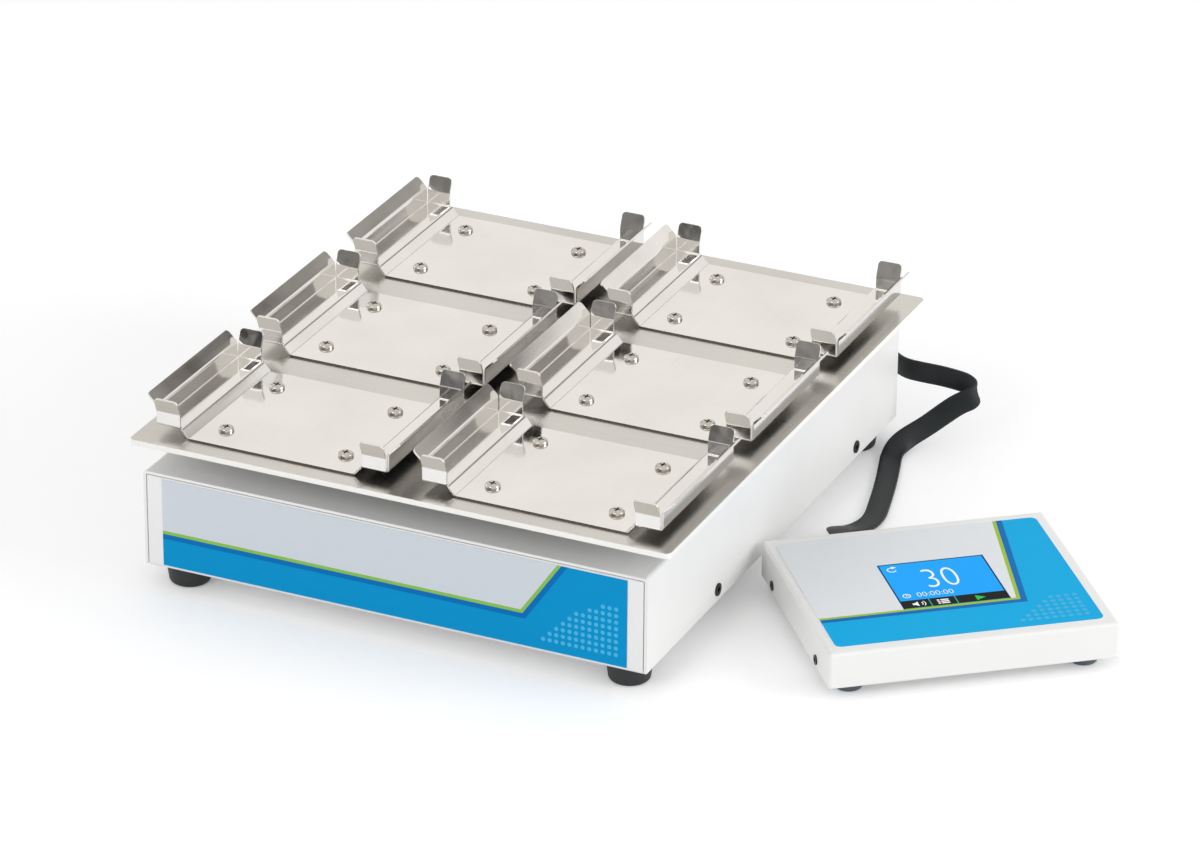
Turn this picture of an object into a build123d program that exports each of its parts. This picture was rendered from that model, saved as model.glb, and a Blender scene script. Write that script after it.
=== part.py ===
# Orbital microplate shaker with its wired remote controller, in millimetres.
# Frame: +X right along the front, +Y to the back, +Z up from the bench.
# Origin: on the bench, under the drive axis in the middle of the housing.
import math
import os

from build123d import *

os.makedirs("parts", exist_ok=True)

# Housing
base_width = 280.0
base_depth = 326.0
foot_height = 12.5
cover_top = 66.0
sheet = 1.5
seam = 0.5
bend_radius = 2.2
cover_lift = 1.0
side_lip_height = 16.0
side_screw_height = 20.0
side_screw_front = -76.0
side_screw_rear = 106.0

# Feet of the housing
foot_radius = 12.3
foot_taper = 1.4
foot_inset = 16.5

# Front label
label_side_margin = 8.5
label_margin = 0.8
label_sheet = 0.3

# Orbit and the places of the cranks
orbit_radius = 9.5
rest_angle = -45.0
idler_x = 88.0
idler_y = 98.0

# Ball bearings, one size throughout
bearing_bore = 12.0
bearing_diameter = 32.0
bearing_width = 10.0
running_gap = 0.05
axial_gap = 0.3

# Deck that carries the bearings
deck_side_gap = 16.5
deck_end_gap = 23.5
deck_bottom = 38.0
deck_sheet = 6.0
deck_corner = 8.0
post_inset = 10.0
post_width = 10.0
side_slot = (120.0, 44.0)
side_slot_place = 66.0
board_slot = (96.0, 44.0)
board_slot_place = 92.0
housing_flange = 4.0
housing_wall = 4.0
housing_flange_radius = 28.0
idler_housing_bottom = 20.0
drive_housing_bottom = 26.5

flange_screw_radius = 1.6
flange_head_radius = 2.7
flange_head_height = 1.6

# Cranks
crank_bottom = 50.0
idler_disc_radius = 22.0
idler_disc_height = 8.0
drive_disc_radius = 25.0
web_height = 4.0
weight_radius = 62.0
weight_angle = 150.0
cover_clearance = 1.5
collar_radius = 9.0
pin_hole_clearance = 2.5

# Belt drive
belt_pitch = 5.08
drive_teeth = 60
motor_teeth = 20
belt_width = 8.0
belt_thickness = 1.4
belt_gap = 0.3
tooth_depth = 1.3
pulley_bottom = 15.5
pulley_height = 9.5
motor_distance = 100.0

# Motor
motor_radius = 38.0
motor_bottom = 27.5
motor_top = 49.0
motor_flange_radius = 46.0
motor_flange = 3.0
motor_shaft_radius = 4.0
motor_wall = 3.0
motor_rim = 2.5
motor_air_gap = 1.0
rotor_radius = 34.0
rotor_ring_radius = 30.0
rotor_hub_radius = 8.0

# Platform and carrier
platform_width = 298.0
platform_depth = 332.0
platform_sheet = 3.0
platform_corner = 3.0
platform_bottom = 84.5
carrier_margin_x = 9.0
carrier_margin_y = 5.0
carrier_sheet = 4.0
carrier_corner = 10.0
long_slot = (110.0, 44.0)
long_slot_place = 62.0
cross_slot = (92.0, 40.0)
cross_slot_place = 88.0
stud_radius = 2.5
stud_length = 9.0
stud_inset = 13.0
stud_spread = 45.0
nut_width = 8.0
nut_height = 4.0

# Microplate holders
plate_length = 127.76
plate_depth = 85.48
plate_slack = 0.55
holder_pitch_x = 149.0
holder_pitch_y = 110.5
holder_sheet = 1.0
shelf_height = 5.9
shelf_width = 13.6
ramp_run = 4.3
wall_height = 8.6
wall_flare = 5.6
tab_width = 13.3
tab_height = 8.0
tab_lean = 3.2
tab_top = 8.0
tab_corner = 2.4
holder_bend = 1.6
tab_relief = 1.7
screw_x = 33.8
screw_y = 27.6
screw_head_radius = 4.0
screw_head_height = 2.3
screw_radius = 2.0
screw_play = 0.1

# Electronics in the housing
board_width = 100.0
board_depth = 52.0
board_sheet = 1.6
board_y = 104.0
board_bottom = 20.0

# Remote controller
remote_x = 222.5
remote_y = -127.3
remote_angle = 38.5
remote_width = 150.0
remote_depth = 128.0
remote_foot_height = 7.0
remote_top = 26.0
remote_sheet = 1.2
remote_edge = 1.8
remote_gap = 0.25
remote_foot_radius = 7.9
remote_foot_inset = 14.0
remote_screw_height = 11.0
remote_screw_front = 24.0
remote_screw_rear_inset = 22.0
overlay_left_margin = 5.0
overlay_right_margin = 6.0
overlay_end_margin = 6.5
overlay_corner = 3.5
window_width = 56.0
window_depth = 50.0
window_right_shift = 2.0
window_front_shift = 2.0
glass_play = 0.15
overlay_sheet = 0.3
glass_sheet = 1.4
module_width = 66.0
module_depth = 58.0
module_height = 4.0
remote_flange = 8.0
remote_screw_radius = 1.4

# Board of the remote
remote_board_height = 2.0
remote_board_sheet = 1.6
remote_board_side_gap = 13.0
remote_board_front_gap = 19.5
remote_board_rear_gap = 4.5
buzzer_u = 30.0
buzzer_v = 34.0
buzzer_radius = 6.0
buzzer_height = 7.0

# Power jack
jack_width = 9.4
jack_length = 14.0
jack_sleeve_radius = 4.0
jack_bore_radius = 2.75
jack_pin_radius = 1.0

# Rear wall of the remote: the gland from its left end, the sockets from its right end
gland_u = 47.0
switch_inset = 50.0
jack_inset = 26.0
rear_height = 16.5

# Rocker switch
rocker_length = 10.8
rocker_width = 6.6
rocker_tilt = 12.0
rocker_play = 0.3
rocker_lean = 18.0
rocker_pivot_radius = 0.9
rocker_pivot_depth = 1.6
rocker_pin = 1.0
switch_length = 13.6
switch_height = 9.2
switch_depth = 10.0
bezel_length = 15.6
bezel_width = 10.8
bezel_sheet = 1.2

# Flat cable between the housing and the remote
gland_x = 84.0
gland_height = 36.0
gland_length = 9.0
gland_width = 8.0
gland_tall = 17.0
cable_radius = 3.4

# Places that follow from the sizes above
half_w = base_width / 2
half_d = base_depth / 2
panel_half = half_w - sheet - seam
panel_top = cover_top - sheet - seam
floor_top = foot_height + sheet
label_width = 2 * (panel_half - label_side_margin)
deck_width = base_width - 2 * (sheet + deck_side_gap)
deck_depth = base_depth - 2 * (sheet + deck_end_gap)
post_x = deck_width / 2 - post_inset
post_y = deck_depth / 2 - post_inset
carrier_width = 2 * (idler_x + housing_flange_radius + carrier_margin_x)
carrier_depth = 2 * (idler_y + housing_flange_radius + carrier_margin_y)
overlay_width = remote_width - overlay_left_margin - overlay_right_margin
overlay_depth = remote_depth - 2 * overlay_end_margin
overlay_u = overlay_left_margin + overlay_width / 2
overlay_v = remote_depth / 2
window_u = remote_width / 2 + window_right_shift
window_v = remote_depth / 2 - window_front_shift
remote_board_width = remote_width - 2 * remote_board_side_gap
remote_board_depth = remote_depth - remote_board_front_gap - remote_board_rear_gap
remote_board_v = remote_board_front_gap + remote_board_depth / 2
remote_screw_rear = remote_depth - remote_screw_rear_inset
switch_u = remote_width - switch_inset
jack_u = remote_width - jack_inset
deck_top = deck_bottom + deck_sheet
housing_top = deck_top + housing_flange
housing_radius = bearing_diameter / 2 + housing_wall
flange_screw_circle = housing_radius + 4
shaft_radius = bearing_bore / 2 - running_gap
offset_x = orbit_radius * math.cos(math.radians(rest_angle))
offset_y = orbit_radius * math.sin(math.radians(rest_angle))
carrier_bottom = platform_bottom - carrier_sheet
carrier_bearing_bottom = carrier_bottom - bearing_width - 0.5
platform_top = platform_bottom + platform_sheet
weight_top = cover_top - sheet - cover_clearance
shelf_top = platform_top + shelf_height
pocket_half_x = plate_length / 2 + plate_slack
pocket_half_y = plate_depth / 2 + plate_slack
drive_pulley_radius = drive_teeth * belt_pitch / (2 * math.pi)
motor_pulley_radius = motor_teeth * belt_pitch / (2 * math.pi)
idler_places = {
    "front_left": (-idler_x, -idler_y),
    "front_right": (idler_x, -idler_y),
    "rear_left": (-idler_x, idler_y),
    "rear_right": (idler_x, idler_y),
}
crank_places = [(0.0, 0.0)] + list(idler_places.values())
post_places = [(x, y) for x in (-post_x, post_x) for y in (-post_y, 0.0, post_y)]
foot_places = [(x, y) for x in (-half_w + foot_inset, half_w - foot_inset)
               for y in (-half_d + foot_inset, half_d - foot_inset)]
holder_places = {
    "front_left": (-0.5, -1), "front_right": (0.5, -1),
    "middle_left": (-0.5, 0), "middle_right": (0.5, 0),
    "rear_left": (-0.5, 1), "rear_right": (0.5, 1),
}
stud_x = carrier_width / 2 - stud_inset
stud_y = carrier_depth / 2 - stud_inset
stud_places = [(-stud_x, 0), (stud_x, 0), (-stud_spread, -stud_y), (stud_spread, -stud_y),
               (-stud_spread, stud_y), (stud_spread, stud_y)]


def write(piece, name):
    piece.part.label = name
    export_step(piece.part, f"parts/{name}.step")


def level(z, x=0.0, y=0.0):
    return Plane(origin=(x, y, z))


def on_platform(z, x=0.0, y=0.0):
    return Plane(origin=(offset_x + x, offset_y + y, z))


def on_remote(z):
    turn = math.radians(remote_angle)
    return Plane(origin=(remote_x, remote_y, z), x_dir=(math.cos(turn), math.sin(turn), 0),
                 z_dir=(0, 0, 1))


def upright(x=0.0, y=0.0, z=0.0):
    """Vertical plane through a point: local x is X, local y is up."""
    return Plane(origin=(x, y, z), x_dir=(1, 0, 0), z_dir=(0, -1, 0))


# Bottom pan: floor, front panel, rear panel and two low side lips
with BuildPart() as base_pan:
    with BuildSketch(Plane.YZ):
        with BuildLine():
            fold = FilletPolyline((-half_d, panel_top), (-half_d, foot_height),
                                  (half_d, foot_height), (half_d, panel_top),
                                  radius=bend_radius)
            offset(fold, amount=sheet, side=Side.LEFT)
        make_face()
    extrude(amount=panel_half, both=True)
    for side in (-1, 1):
        lip_x = side * (panel_half - sheet / 2 - seam)
        with BuildSketch(level(floor_top - sheet / 2)):
            with Locations((lip_x, 0)):
                Rectangle(sheet, base_depth - 30)
        extrude(amount=side_lip_height)
    with BuildSketch(Plane.YZ):
        with Locations((side_screw_front, side_screw_height),
                       (side_screw_rear, side_screw_height)):
            Circle(2.1)
    extrude(amount=half_w, both=True, mode=Mode.SUBTRACT)
    with BuildSketch(Plane.XZ.offset(-half_d)):
        with Locations((gland_x, gland_height)):
            RectangleRounded(gland_width - 2, gland_tall - 3, 1.5)
    extrude(amount=sheet * 2, both=True, mode=Mode.SUBTRACT)
    with BuildSketch(level(foot_height)):
        with Locations(*foot_places):
            Circle(2.2)
        with Locations((0, 60), (0, -60)):
            with GridLocations(12, 0, 9, 1):
                SlotOverall(26, 3, rotation=90)
    extrude(amount=sheet * 2, both=True, mode=Mode.SUBTRACT)
write(base_pan, "base_pan")


# Cover: top and both sides in one bent sheet, with holes for the five crank collars
with BuildPart() as housing_cover:
    cover_bottom = foot_height + cover_lift
    with BuildSketch(Plane.XZ):
        with BuildLine():
            fold = FilletPolyline((-half_w, cover_bottom), (-half_w, cover_top),
                                  (half_w, cover_top), (half_w, cover_bottom),
                                  radius=bend_radius)
            offset(fold, amount=sheet, side=Side.RIGHT)
        make_face()
    extrude(amount=half_d, both=True)
    with BuildSketch(level(cover_top)):
        with Locations(*crank_places):
            Circle(orbit_radius + collar_radius + pin_hole_clearance)
    extrude(amount=-2 * sheet, mode=Mode.SUBTRACT)
    with BuildSketch(Plane.YZ):
        with Locations((side_screw_front, side_screw_height),
                       (side_screw_rear, side_screw_height)):
            Circle(2.1)
    extrude(amount=half_w + 1, both=True, mode=Mode.SUBTRACT)
write(housing_cover, "housing_cover")

# Printed label on the front panel
with BuildPart() as front_label:
    label_low = foot_height + bend_radius
    label_high = panel_top - label_margin
    with BuildSketch(Plane.XZ.offset(half_d)):
        with Locations((0, (label_low + label_high) / 2)):
            Rectangle(label_width, label_high - label_low)
    extrude(amount=label_sheet)
write(front_label, "front_label")

# Rubber feet with a screw recess underneath
foot_low = foot_radius - foot_taper
foot_round = 2.5
with BuildPart() as one_foot:
    with BuildSketch(upright()):
        with BuildLine():
            Polyline((foot_low, foot_round), (foot_radius, foot_height), (2.3, foot_height),
                     (2.3, 4.0), (5.0, 4.0), (5.0, 0), (foot_low - foot_round, 0))
            RadiusArc((foot_low - foot_round, 0), (foot_low, foot_round), -foot_round)
        make_face()
    revolve(axis=Axis.Z)
with BuildPart() as base_feet:
    with Locations(*foot_places):
        add(one_foot.part)
write(base_feet, "base_feet")

with BuildPart() as one_foot_screw:
    with BuildSketch(upright()):
        Polygon((0, 1.4), (4.0, 1.4), (4.0, 4.0), (2.1, 4.0), (2.1, floor_top + 4),
                (0, floor_top + 4), align=None)
    revolve(axis=Axis.Z)
with BuildPart() as foot_screws:
    with Locations(*foot_places):
        add(one_foot_screw.part)
write(foot_screws, "foot_screws")

# Countersunk screws in the sides of the cover
with BuildPart() as cover_screws:
    for side in (-1, 1):
        for y in (side_screw_front, side_screw_rear):
            start = Plane(origin=(side * half_w, y, side_screw_height), z_dir=(side, 0, 0))
            with BuildSketch(start):
                Circle(3.4)
            extrude(amount=0.7)
            with BuildSketch(start):
                Circle(2.0)
            extrude(amount=-(sheet + seam + sheet + 3))
            with BuildSketch(start.offset(0.7)):
                RegularPolygon(1.5, 6)
            extrude(amount=-1.2, mode=Mode.SUBTRACT)
write(cover_screws, "cover_screws")

# Deck, posts and screws that carry the bearings
with BuildPart() as bearing_deck:
    with BuildSketch(level(deck_bottom)):
        RectangleRounded(deck_width, deck_depth, deck_corner)
        with Locations(*idler_places.values(), (0, 0)):
            Circle(housing_radius + 0.1, mode=Mode.SUBTRACT)
        with Locations((0, -motor_distance)):
            Circle(motor_radius + 0.5, mode=Mode.SUBTRACT)
        with Locations((-side_slot_place, 0), (side_slot_place, 0)):
            SlotOverall(*side_slot, rotation=90, mode=Mode.SUBTRACT)
        with Locations((0, board_slot_place)):
            SlotOverall(*board_slot, mode=Mode.SUBTRACT)
        with Locations(*post_places):
            Circle(2.1, mode=Mode.SUBTRACT)
        with Locations(*crank_places):
            with PolarLocations(flange_screw_circle, 3, start_angle=90):
                Circle(flange_screw_radius + 0.1, mode=Mode.SUBTRACT)
    extrude(amount=deck_sheet)
write(bearing_deck, "bearing_deck")

with BuildPart() as deck_posts:
    with BuildSketch(level(floor_top)):
        with Locations(*post_places):
            RegularPolygon(post_width / 2, 6, major_radius=False)
    extrude(amount=deck_bottom - floor_top)
write(deck_posts, "deck_posts")

with BuildPart() as deck_screws:
    with BuildSketch(level(deck_top)):
        with Locations(*post_places):
            Circle(3.5)
    extrude(amount=3)
    with BuildSketch(level(deck_top + 3)):
        with Locations(*post_places):
            RegularPolygon(1.6, 6)
    extrude(amount=-1.6, mode=Mode.SUBTRACT)
    with BuildSketch(level(deck_top)):
        with Locations(*post_places):
            Circle(2.0)
    extrude(amount=-deck_sheet)
write(deck_screws, "deck_screws")


def bearing_housing(bottom):
    """Flanged housing that stands on the deck and reaches down through it."""
    with BuildPart() as housing:
        with BuildSketch(level(deck_top)):
            Circle(housing_flange_radius)
            with PolarLocations(flange_screw_circle, 3, start_angle=90):
                Circle(flange_screw_radius + 0.1, mode=Mode.SUBTRACT)
        extrude(amount=housing_flange)
        with BuildSketch(level(bottom)):
            Circle(housing_radius)
        extrude(amount=deck_top - bottom)
        with BuildSketch(level(bottom)):
            Circle(bearing_diameter / 2 - 2.5)
        extrude(amount=housing_top - bottom, mode=Mode.SUBTRACT)
        for seat in (bottom, housing_top - bearing_width):
            with BuildSketch(level(seat)):
                Circle(bearing_diameter / 2)
            extrude(amount=bearing_width, mode=Mode.SUBTRACT)
    return housing.part


# Shielded ball bearing, drawn closed: outer ring, shield recess, inner ring
inner_ring = bearing_bore / 2 + 2.6
outer_ring = bearing_diameter / 2 - 2.4
shield = 0.8
with BuildPart() as ball_bearing:
    with BuildSketch(upright()):
        Polygon((bearing_bore / 2, 0), (inner_ring, 0), (inner_ring, shield),
                (outer_ring, shield), (outer_ring, 0), (bearing_diameter / 2, 0),
                (bearing_diameter / 2, bearing_width), (outer_ring, bearing_width),
                (outer_ring, bearing_width - shield), (inner_ring, bearing_width - shield),
                (inner_ring, bearing_width), (bearing_bore / 2, bearing_width), align=None)
    revolve(axis=Axis.Z)

drive_housing = bearing_housing(drive_housing_bottom)
with BuildPart() as drive_bearing_housing:
    add(drive_housing)
write(drive_bearing_housing, "drive_bearing_housing")

with BuildPart() as drive_bearings:
    with Locations((0, 0, drive_housing_bottom), (0, 0, housing_top - bearing_width)):
        add(ball_bearing.part)
write(drive_bearings, "drive_bearings")

idler_housing = bearing_housing(idler_housing_bottom)
with BuildPart() as idler_bearing_housings:
    with Locations(*idler_places.values()):
        add(idler_housing)
write(idler_bearing_housings, "idler_bearing_housings")

with BuildPart() as idler_bearings:
    for seat in (idler_housing_bottom, housing_top - bearing_width):
        with Locations(*[(x, y, seat) for x, y in idler_places.values()]):
            add(ball_bearing.part)
write(idler_bearings, "idler_bearings")

with BuildPart() as bearing_screws:
    for x, y in crank_places:
        with BuildSketch(level(housing_top, x, y)):
            with PolarLocations(flange_screw_circle, 3, start_angle=90):
                Circle(flange_head_radius)
        extrude(amount=flange_head_height)
        with BuildSketch(level(housing_top + flange_head_height, x, y)):
            with PolarLocations(flange_screw_circle, 3, start_angle=90):
                RegularPolygon(1.3, 6)
        extrude(amount=-1.0, mode=Mode.SUBTRACT)
        with BuildSketch(level(housing_top, x, y)):
            with PolarLocations(flange_screw_circle, 3, start_angle=90):
                Circle(flange_screw_radius)
        extrude(amount=-housing_flange - deck_sheet)
write(bearing_screws, "bearing_screws")


def crank(low, disc_radius, disc_height):
    """Crank: stub shaft in its bearings, disc, and the eccentric pin with its collar."""
    with BuildPart() as piece:
        with BuildSketch(level(low)):
            Circle(shaft_radius)
        extrude(amount=crank_bottom - low)
        with BuildSketch(level(housing_top + axial_gap)):
            Circle(inner_ring - 0.2)
        extrude(amount=crank_bottom - housing_top - axial_gap)
        with BuildSketch(level(crank_bottom)):
            Circle(disc_radius)
        extrude(amount=disc_height)
        with BuildSketch(level(crank_bottom, offset_x, offset_y)):
            Circle(collar_radius)
        extrude(amount=carrier_bearing_bottom - axial_gap - crank_bottom)
        with BuildSketch(level(carrier_bearing_bottom - axial_gap, offset_x, offset_y)):
            Circle(shaft_radius)
        extrude(amount=bearing_width + axial_gap)
        top_edges = piece.edges().group_by(Axis.Z)[-1]
        chamfer(top_edges, length=0.6)
    return piece.part


def weight_outline(radius_in, radius_out):
    """Ring sector on the side away from the pin."""
    start = rest_angle + 180 - weight_angle / 2
    with BuildSketch() as outline:
        with BuildLine():
            CenterArc((0, 0), radius_out, start, weight_angle)
            PolarLine((0, 0), radius_out, start)
            PolarLine((0, 0), radius_out, start + weight_angle)
        make_face()
        Circle(radius_in, mode=Mode.SUBTRACT)
    return outline.sketch


# Driven crank with the web that carries its counterweight
drive_parts = crank(pulley_bottom, drive_disc_radius, weight_top - crank_bottom)
web_outline = weight_outline(drive_disc_radius - 3, weight_radius)
with BuildPart() as drive_crank:
    add(drive_parts)
    with BuildSketch(level(crank_bottom)):
        add(web_outline)
    extrude(amount=web_height)
write(drive_crank, "drive_crank")

block_outline = weight_outline(drive_disc_radius + 0.2, weight_radius)
weight_screw_radius = (drive_disc_radius + weight_radius) / 2
screw_step = weight_angle / 3
weight_screw_angle = rest_angle + 180 - screw_step
with BuildPart() as counterweight:
    with BuildSketch(level(crank_bottom + web_height)):
        add(block_outline)
    extrude(amount=weight_top - crank_bottom - web_height)
    with BuildSketch(level(weight_top)):
        with PolarLocations(weight_screw_radius, 3, weight_screw_angle, 3 * screw_step):
            Circle(4.0)
    extrude(amount=-3.2, mode=Mode.SUBTRACT)
write(counterweight, "counterweight")

with BuildPart() as counterweight_screws:
    with BuildSketch(level(weight_top - 3.2)):
        with PolarLocations(weight_screw_radius, 3, weight_screw_angle, 3 * screw_step):
            Circle(3.6)
    extrude(amount=3.0)
    with BuildSketch(level(weight_top - 0.2)):
        with PolarLocations(weight_screw_radius, 3, weight_screw_angle, 3 * screw_step):
            RegularPolygon(1.8, 6)
    extrude(amount=-1.8, mode=Mode.SUBTRACT)
write(counterweight_screws, "counterweight_screws")


def pulley_outline(teeth, outer):
    """Toothed pulley outline with square-cut grooves."""
    with BuildSketch() as outline:
        Circle(outer)
        with PolarLocations(outer, teeth):
            Rectangle(2 * tooth_depth, outer * math.pi / teeth * 0.95, mode=Mode.SUBTRACT)
    return outline.sketch


big_outline = pulley_outline(drive_teeth, drive_pulley_radius)
with BuildPart() as drive_pulley:
    with BuildSketch(level(pulley_bottom)):
        add(big_outline)
        Circle(shaft_radius, mode=Mode.SUBTRACT)
        with PolarLocations(28, 5):
            Circle(9.5, mode=Mode.SUBTRACT)
    extrude(amount=pulley_height)
write(drive_pulley, "drive_pulley")

idler_part = crank(idler_housing_bottom + 0.5, idler_disc_radius, idler_disc_height)
for name, (x, y) in idler_places.items():
    with BuildPart() as idler_crank:
        with Locations((x, y)):
            add(idler_part)
    write(idler_crank, f"idler_crank_{name}")

# Flat brushless motor: can with its stator ring, flange on the deck
stator_bottom = motor_bottom + motor_wall + 5
cavity_top = motor_top - motor_wall
with BuildPart() as motor_body:
    with BuildSketch(level(motor_bottom, 0, -motor_distance)):
        Circle(motor_radius)
    extrude(amount=motor_top - motor_bottom)
    chamfer(motor_body.edges().filter_by(GeomType.CIRCLE), length=1.2)
    with BuildSketch(level(deck_top, 0, -motor_distance)):
        Circle(motor_flange_radius)
    extrude(amount=motor_flange)
    with BuildSketch(level(motor_bottom + motor_wall, 0, -motor_distance)):
        Circle(motor_radius - motor_rim)
    extrude(amount=motor_top - motor_bottom - 2 * motor_wall, mode=Mode.SUBTRACT)
    with BuildSketch(level(stator_bottom, 0, -motor_distance)):
        Circle(rotor_ring_radius - motor_air_gap)
        Circle(rotor_hub_radius + 2, mode=Mode.SUBTRACT)
    extrude(amount=cavity_top - stator_bottom)
    with BuildSketch(level(motor_top, 0, -motor_distance)):
        with PolarLocations(24, 8):
            SlotOverall(16, 5)
    extrude(amount=-2, mode=Mode.SUBTRACT)
    with BuildSketch(level(motor_bottom, 0, -motor_distance)):
        Circle(motor_shaft_radius + running_gap)
    extrude(amount=motor_top - motor_bottom - 1, mode=Mode.SUBTRACT)
write(motor_body, "motor_body")

with BuildPart() as motor_magnet_rotor:
    rotor_bottom = motor_bottom + motor_wall + 0.6
    with BuildSketch(level(rotor_bottom, 0, -motor_distance)):
        Circle(rotor_radius)
        Circle(motor_shaft_radius, mode=Mode.SUBTRACT)
    extrude(amount=3)
    with BuildSketch(level(rotor_bottom, 0, -motor_distance)):
        Circle(rotor_radius)
        Circle(rotor_ring_radius, mode=Mode.SUBTRACT)
        Circle(rotor_hub_radius)
        Circle(motor_shaft_radius, mode=Mode.SUBTRACT)
    extrude(amount=cavity_top - 0.6 - rotor_bottom)
write(motor_magnet_rotor, "motor_magnet_rotor")

with BuildPart() as motor_screws:
    with BuildSketch(level(deck_top + motor_flange, 0, -motor_distance)):
        with PolarLocations(motor_radius + 4.2, 4, start_angle=45):
            Circle(2.8)
    extrude(amount=2)
    with BuildSketch(level(deck_top + motor_flange + 2, 0, -motor_distance)):
        with PolarLocations(motor_radius + 4.2, 4, start_angle=45):
            RegularPolygon(1.3, 6)
    extrude(amount=-1.2, mode=Mode.SUBTRACT)
write(motor_screws, "motor_screws")

with BuildPart() as motor_shaft:
    with BuildSketch(level(pulley_bottom, 0, -motor_distance)):
        Circle(motor_shaft_radius)
    extrude(amount=motor_top - 2 - pulley_bottom)
write(motor_shaft, "motor_shaft")

small_outline = pulley_outline(motor_teeth, motor_pulley_radius)
with BuildPart() as motor_pulley:
    with BuildSketch(level(pulley_bottom, 0, -motor_distance)):
        add(small_outline)
        Circle(motor_shaft_radius, mode=Mode.SUBTRACT)
    extrude(amount=pulley_height)
write(motor_pulley, "motor_pulley")


def belt_loop(extra):
    """Closed belt line round both pulleys, a set distance outside their teeth."""
    big = drive_pulley_radius + extra
    small = motor_pulley_radius + extra
    lean = math.asin((big - small) / motor_distance)
    big_right = (big * math.cos(lean), -big * math.sin(lean))
    small_right = (small * math.cos(lean), -motor_distance - small * math.sin(lean))
    with BuildSketch() as outline:
        with BuildLine():
            Line(big_right, small_right)
            ThreePointArc(small_right, (0, -motor_distance - small),
                          (-small_right[0], small_right[1]))
            Line((-small_right[0], small_right[1]), (-big_right[0], big_right[1]))
            ThreePointArc((-big_right[0], big_right[1]), (0, big), big_right)
        make_face()
    return outline.sketch


# Belt round both pulleys
belt_outer = belt_loop(belt_gap + belt_thickness)
belt_inner = belt_loop(belt_gap)
with BuildPart() as timing_belt:
    with BuildSketch(level(pulley_bottom + (pulley_height - belt_width) / 2)):
        add(belt_outer)
        add(belt_inner, mode=Mode.SUBTRACT)
    extrude(amount=belt_width)
write(timing_belt, "timing_belt")

# Motor driver board on four posts
with BuildPart() as driver_board:
    with BuildSketch(level(board_bottom, 0, board_y)):
        RectangleRounded(board_width, board_depth, 2)
    extrude(amount=board_sheet)
    with BuildSketch(level(board_bottom + board_sheet, 0, board_y)):
        with Locations((-30, 6), (-8, -10), (30, 12)):
            Rectangle(14, 12)
    extrude(amount=3)
    with BuildSketch(level(board_bottom + board_sheet, 0, board_y)):
        with Locations((12, 14), (12, 0), (26, -12)):
            Circle(5)
    extrude(amount=12)
write(driver_board, "driver_board")

with BuildPart() as board_posts:
    with BuildSketch(level(floor_top, 0, board_y)):
        with GridLocations(board_width - 10, board_depth - 10, 2, 2):
            RegularPolygon(2.8, 6)
    extrude(amount=board_bottom - floor_top)
write(board_posts, "board_posts")

# Carrier plate that rides on the five crank pins
with BuildPart() as platform_carrier:
    with BuildSketch(on_platform(carrier_bottom)):
        RectangleRounded(carrier_width, carrier_depth, carrier_corner)
        with Locations(*crank_places):
            Circle(bearing_diameter / 2 - 2.5, mode=Mode.SUBTRACT)
        with Locations((-long_slot_place, 0), (long_slot_place, 0)):
            SlotOverall(*long_slot, rotation=90, mode=Mode.SUBTRACT)
        with Locations((0, -cross_slot_place), (0, cross_slot_place)):
            SlotOverall(*cross_slot, mode=Mode.SUBTRACT)
        with Locations(*stud_places):
            Circle(stud_radius + 0.2, mode=Mode.SUBTRACT)
        with Locations(*crank_places):
            with PolarLocations(flange_screw_circle, 3, start_angle=90):
                Circle(flange_screw_radius + 0.1, mode=Mode.SUBTRACT)
    extrude(amount=carrier_sheet)
write(platform_carrier, "platform_carrier")

with BuildPart() as carrier_bearing_rings:
    for x, y in crank_places:
        with BuildSketch(on_platform(carrier_bottom - housing_flange, x, y)):
            Circle(housing_flange_radius)
            with PolarLocations(flange_screw_circle, 3, start_angle=90):
                Circle(flange_screw_radius + 0.1, mode=Mode.SUBTRACT)
        extrude(amount=housing_flange)
        with BuildSketch(on_platform(carrier_bearing_bottom, x, y)):
            Circle(housing_radius)
        extrude(amount=carrier_bottom - carrier_bearing_bottom)
        with BuildSketch(on_platform(carrier_bearing_bottom, x, y)):
            Circle(bearing_diameter / 2)
        extrude(amount=bearing_width, mode=Mode.SUBTRACT)
        with BuildSketch(on_platform(carrier_bearing_bottom, x, y)):
            Circle(bearing_diameter / 2 - 2.5)
        extrude(amount=bearing_width + 1, mode=Mode.SUBTRACT)
write(carrier_bearing_rings, "carrier_bearing_rings")

with BuildPart() as carrier_ring_screws:
    for x, y in crank_places:
        ring_bottom = carrier_bottom - housing_flange
        with BuildSketch(on_platform(ring_bottom, x, y)):
            with PolarLocations(flange_screw_circle, 3, start_angle=90):
                Circle(flange_head_radius)
        extrude(amount=-flange_head_height)
        with BuildSketch(on_platform(ring_bottom, x, y)):
            with PolarLocations(flange_screw_circle, 3, start_angle=90):
                Circle(flange_screw_radius)
        extrude(amount=housing_flange + carrier_sheet)
write(carrier_ring_screws, "carrier_ring_screws")

with BuildPart() as carrier_bearings:
    with Locations(*[(offset_x + x, offset_y + y, carrier_bearing_bottom)
                     for x, y in crank_places]):
        add(ball_bearing.part)
write(carrier_bearings, "carrier_bearings")

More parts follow.
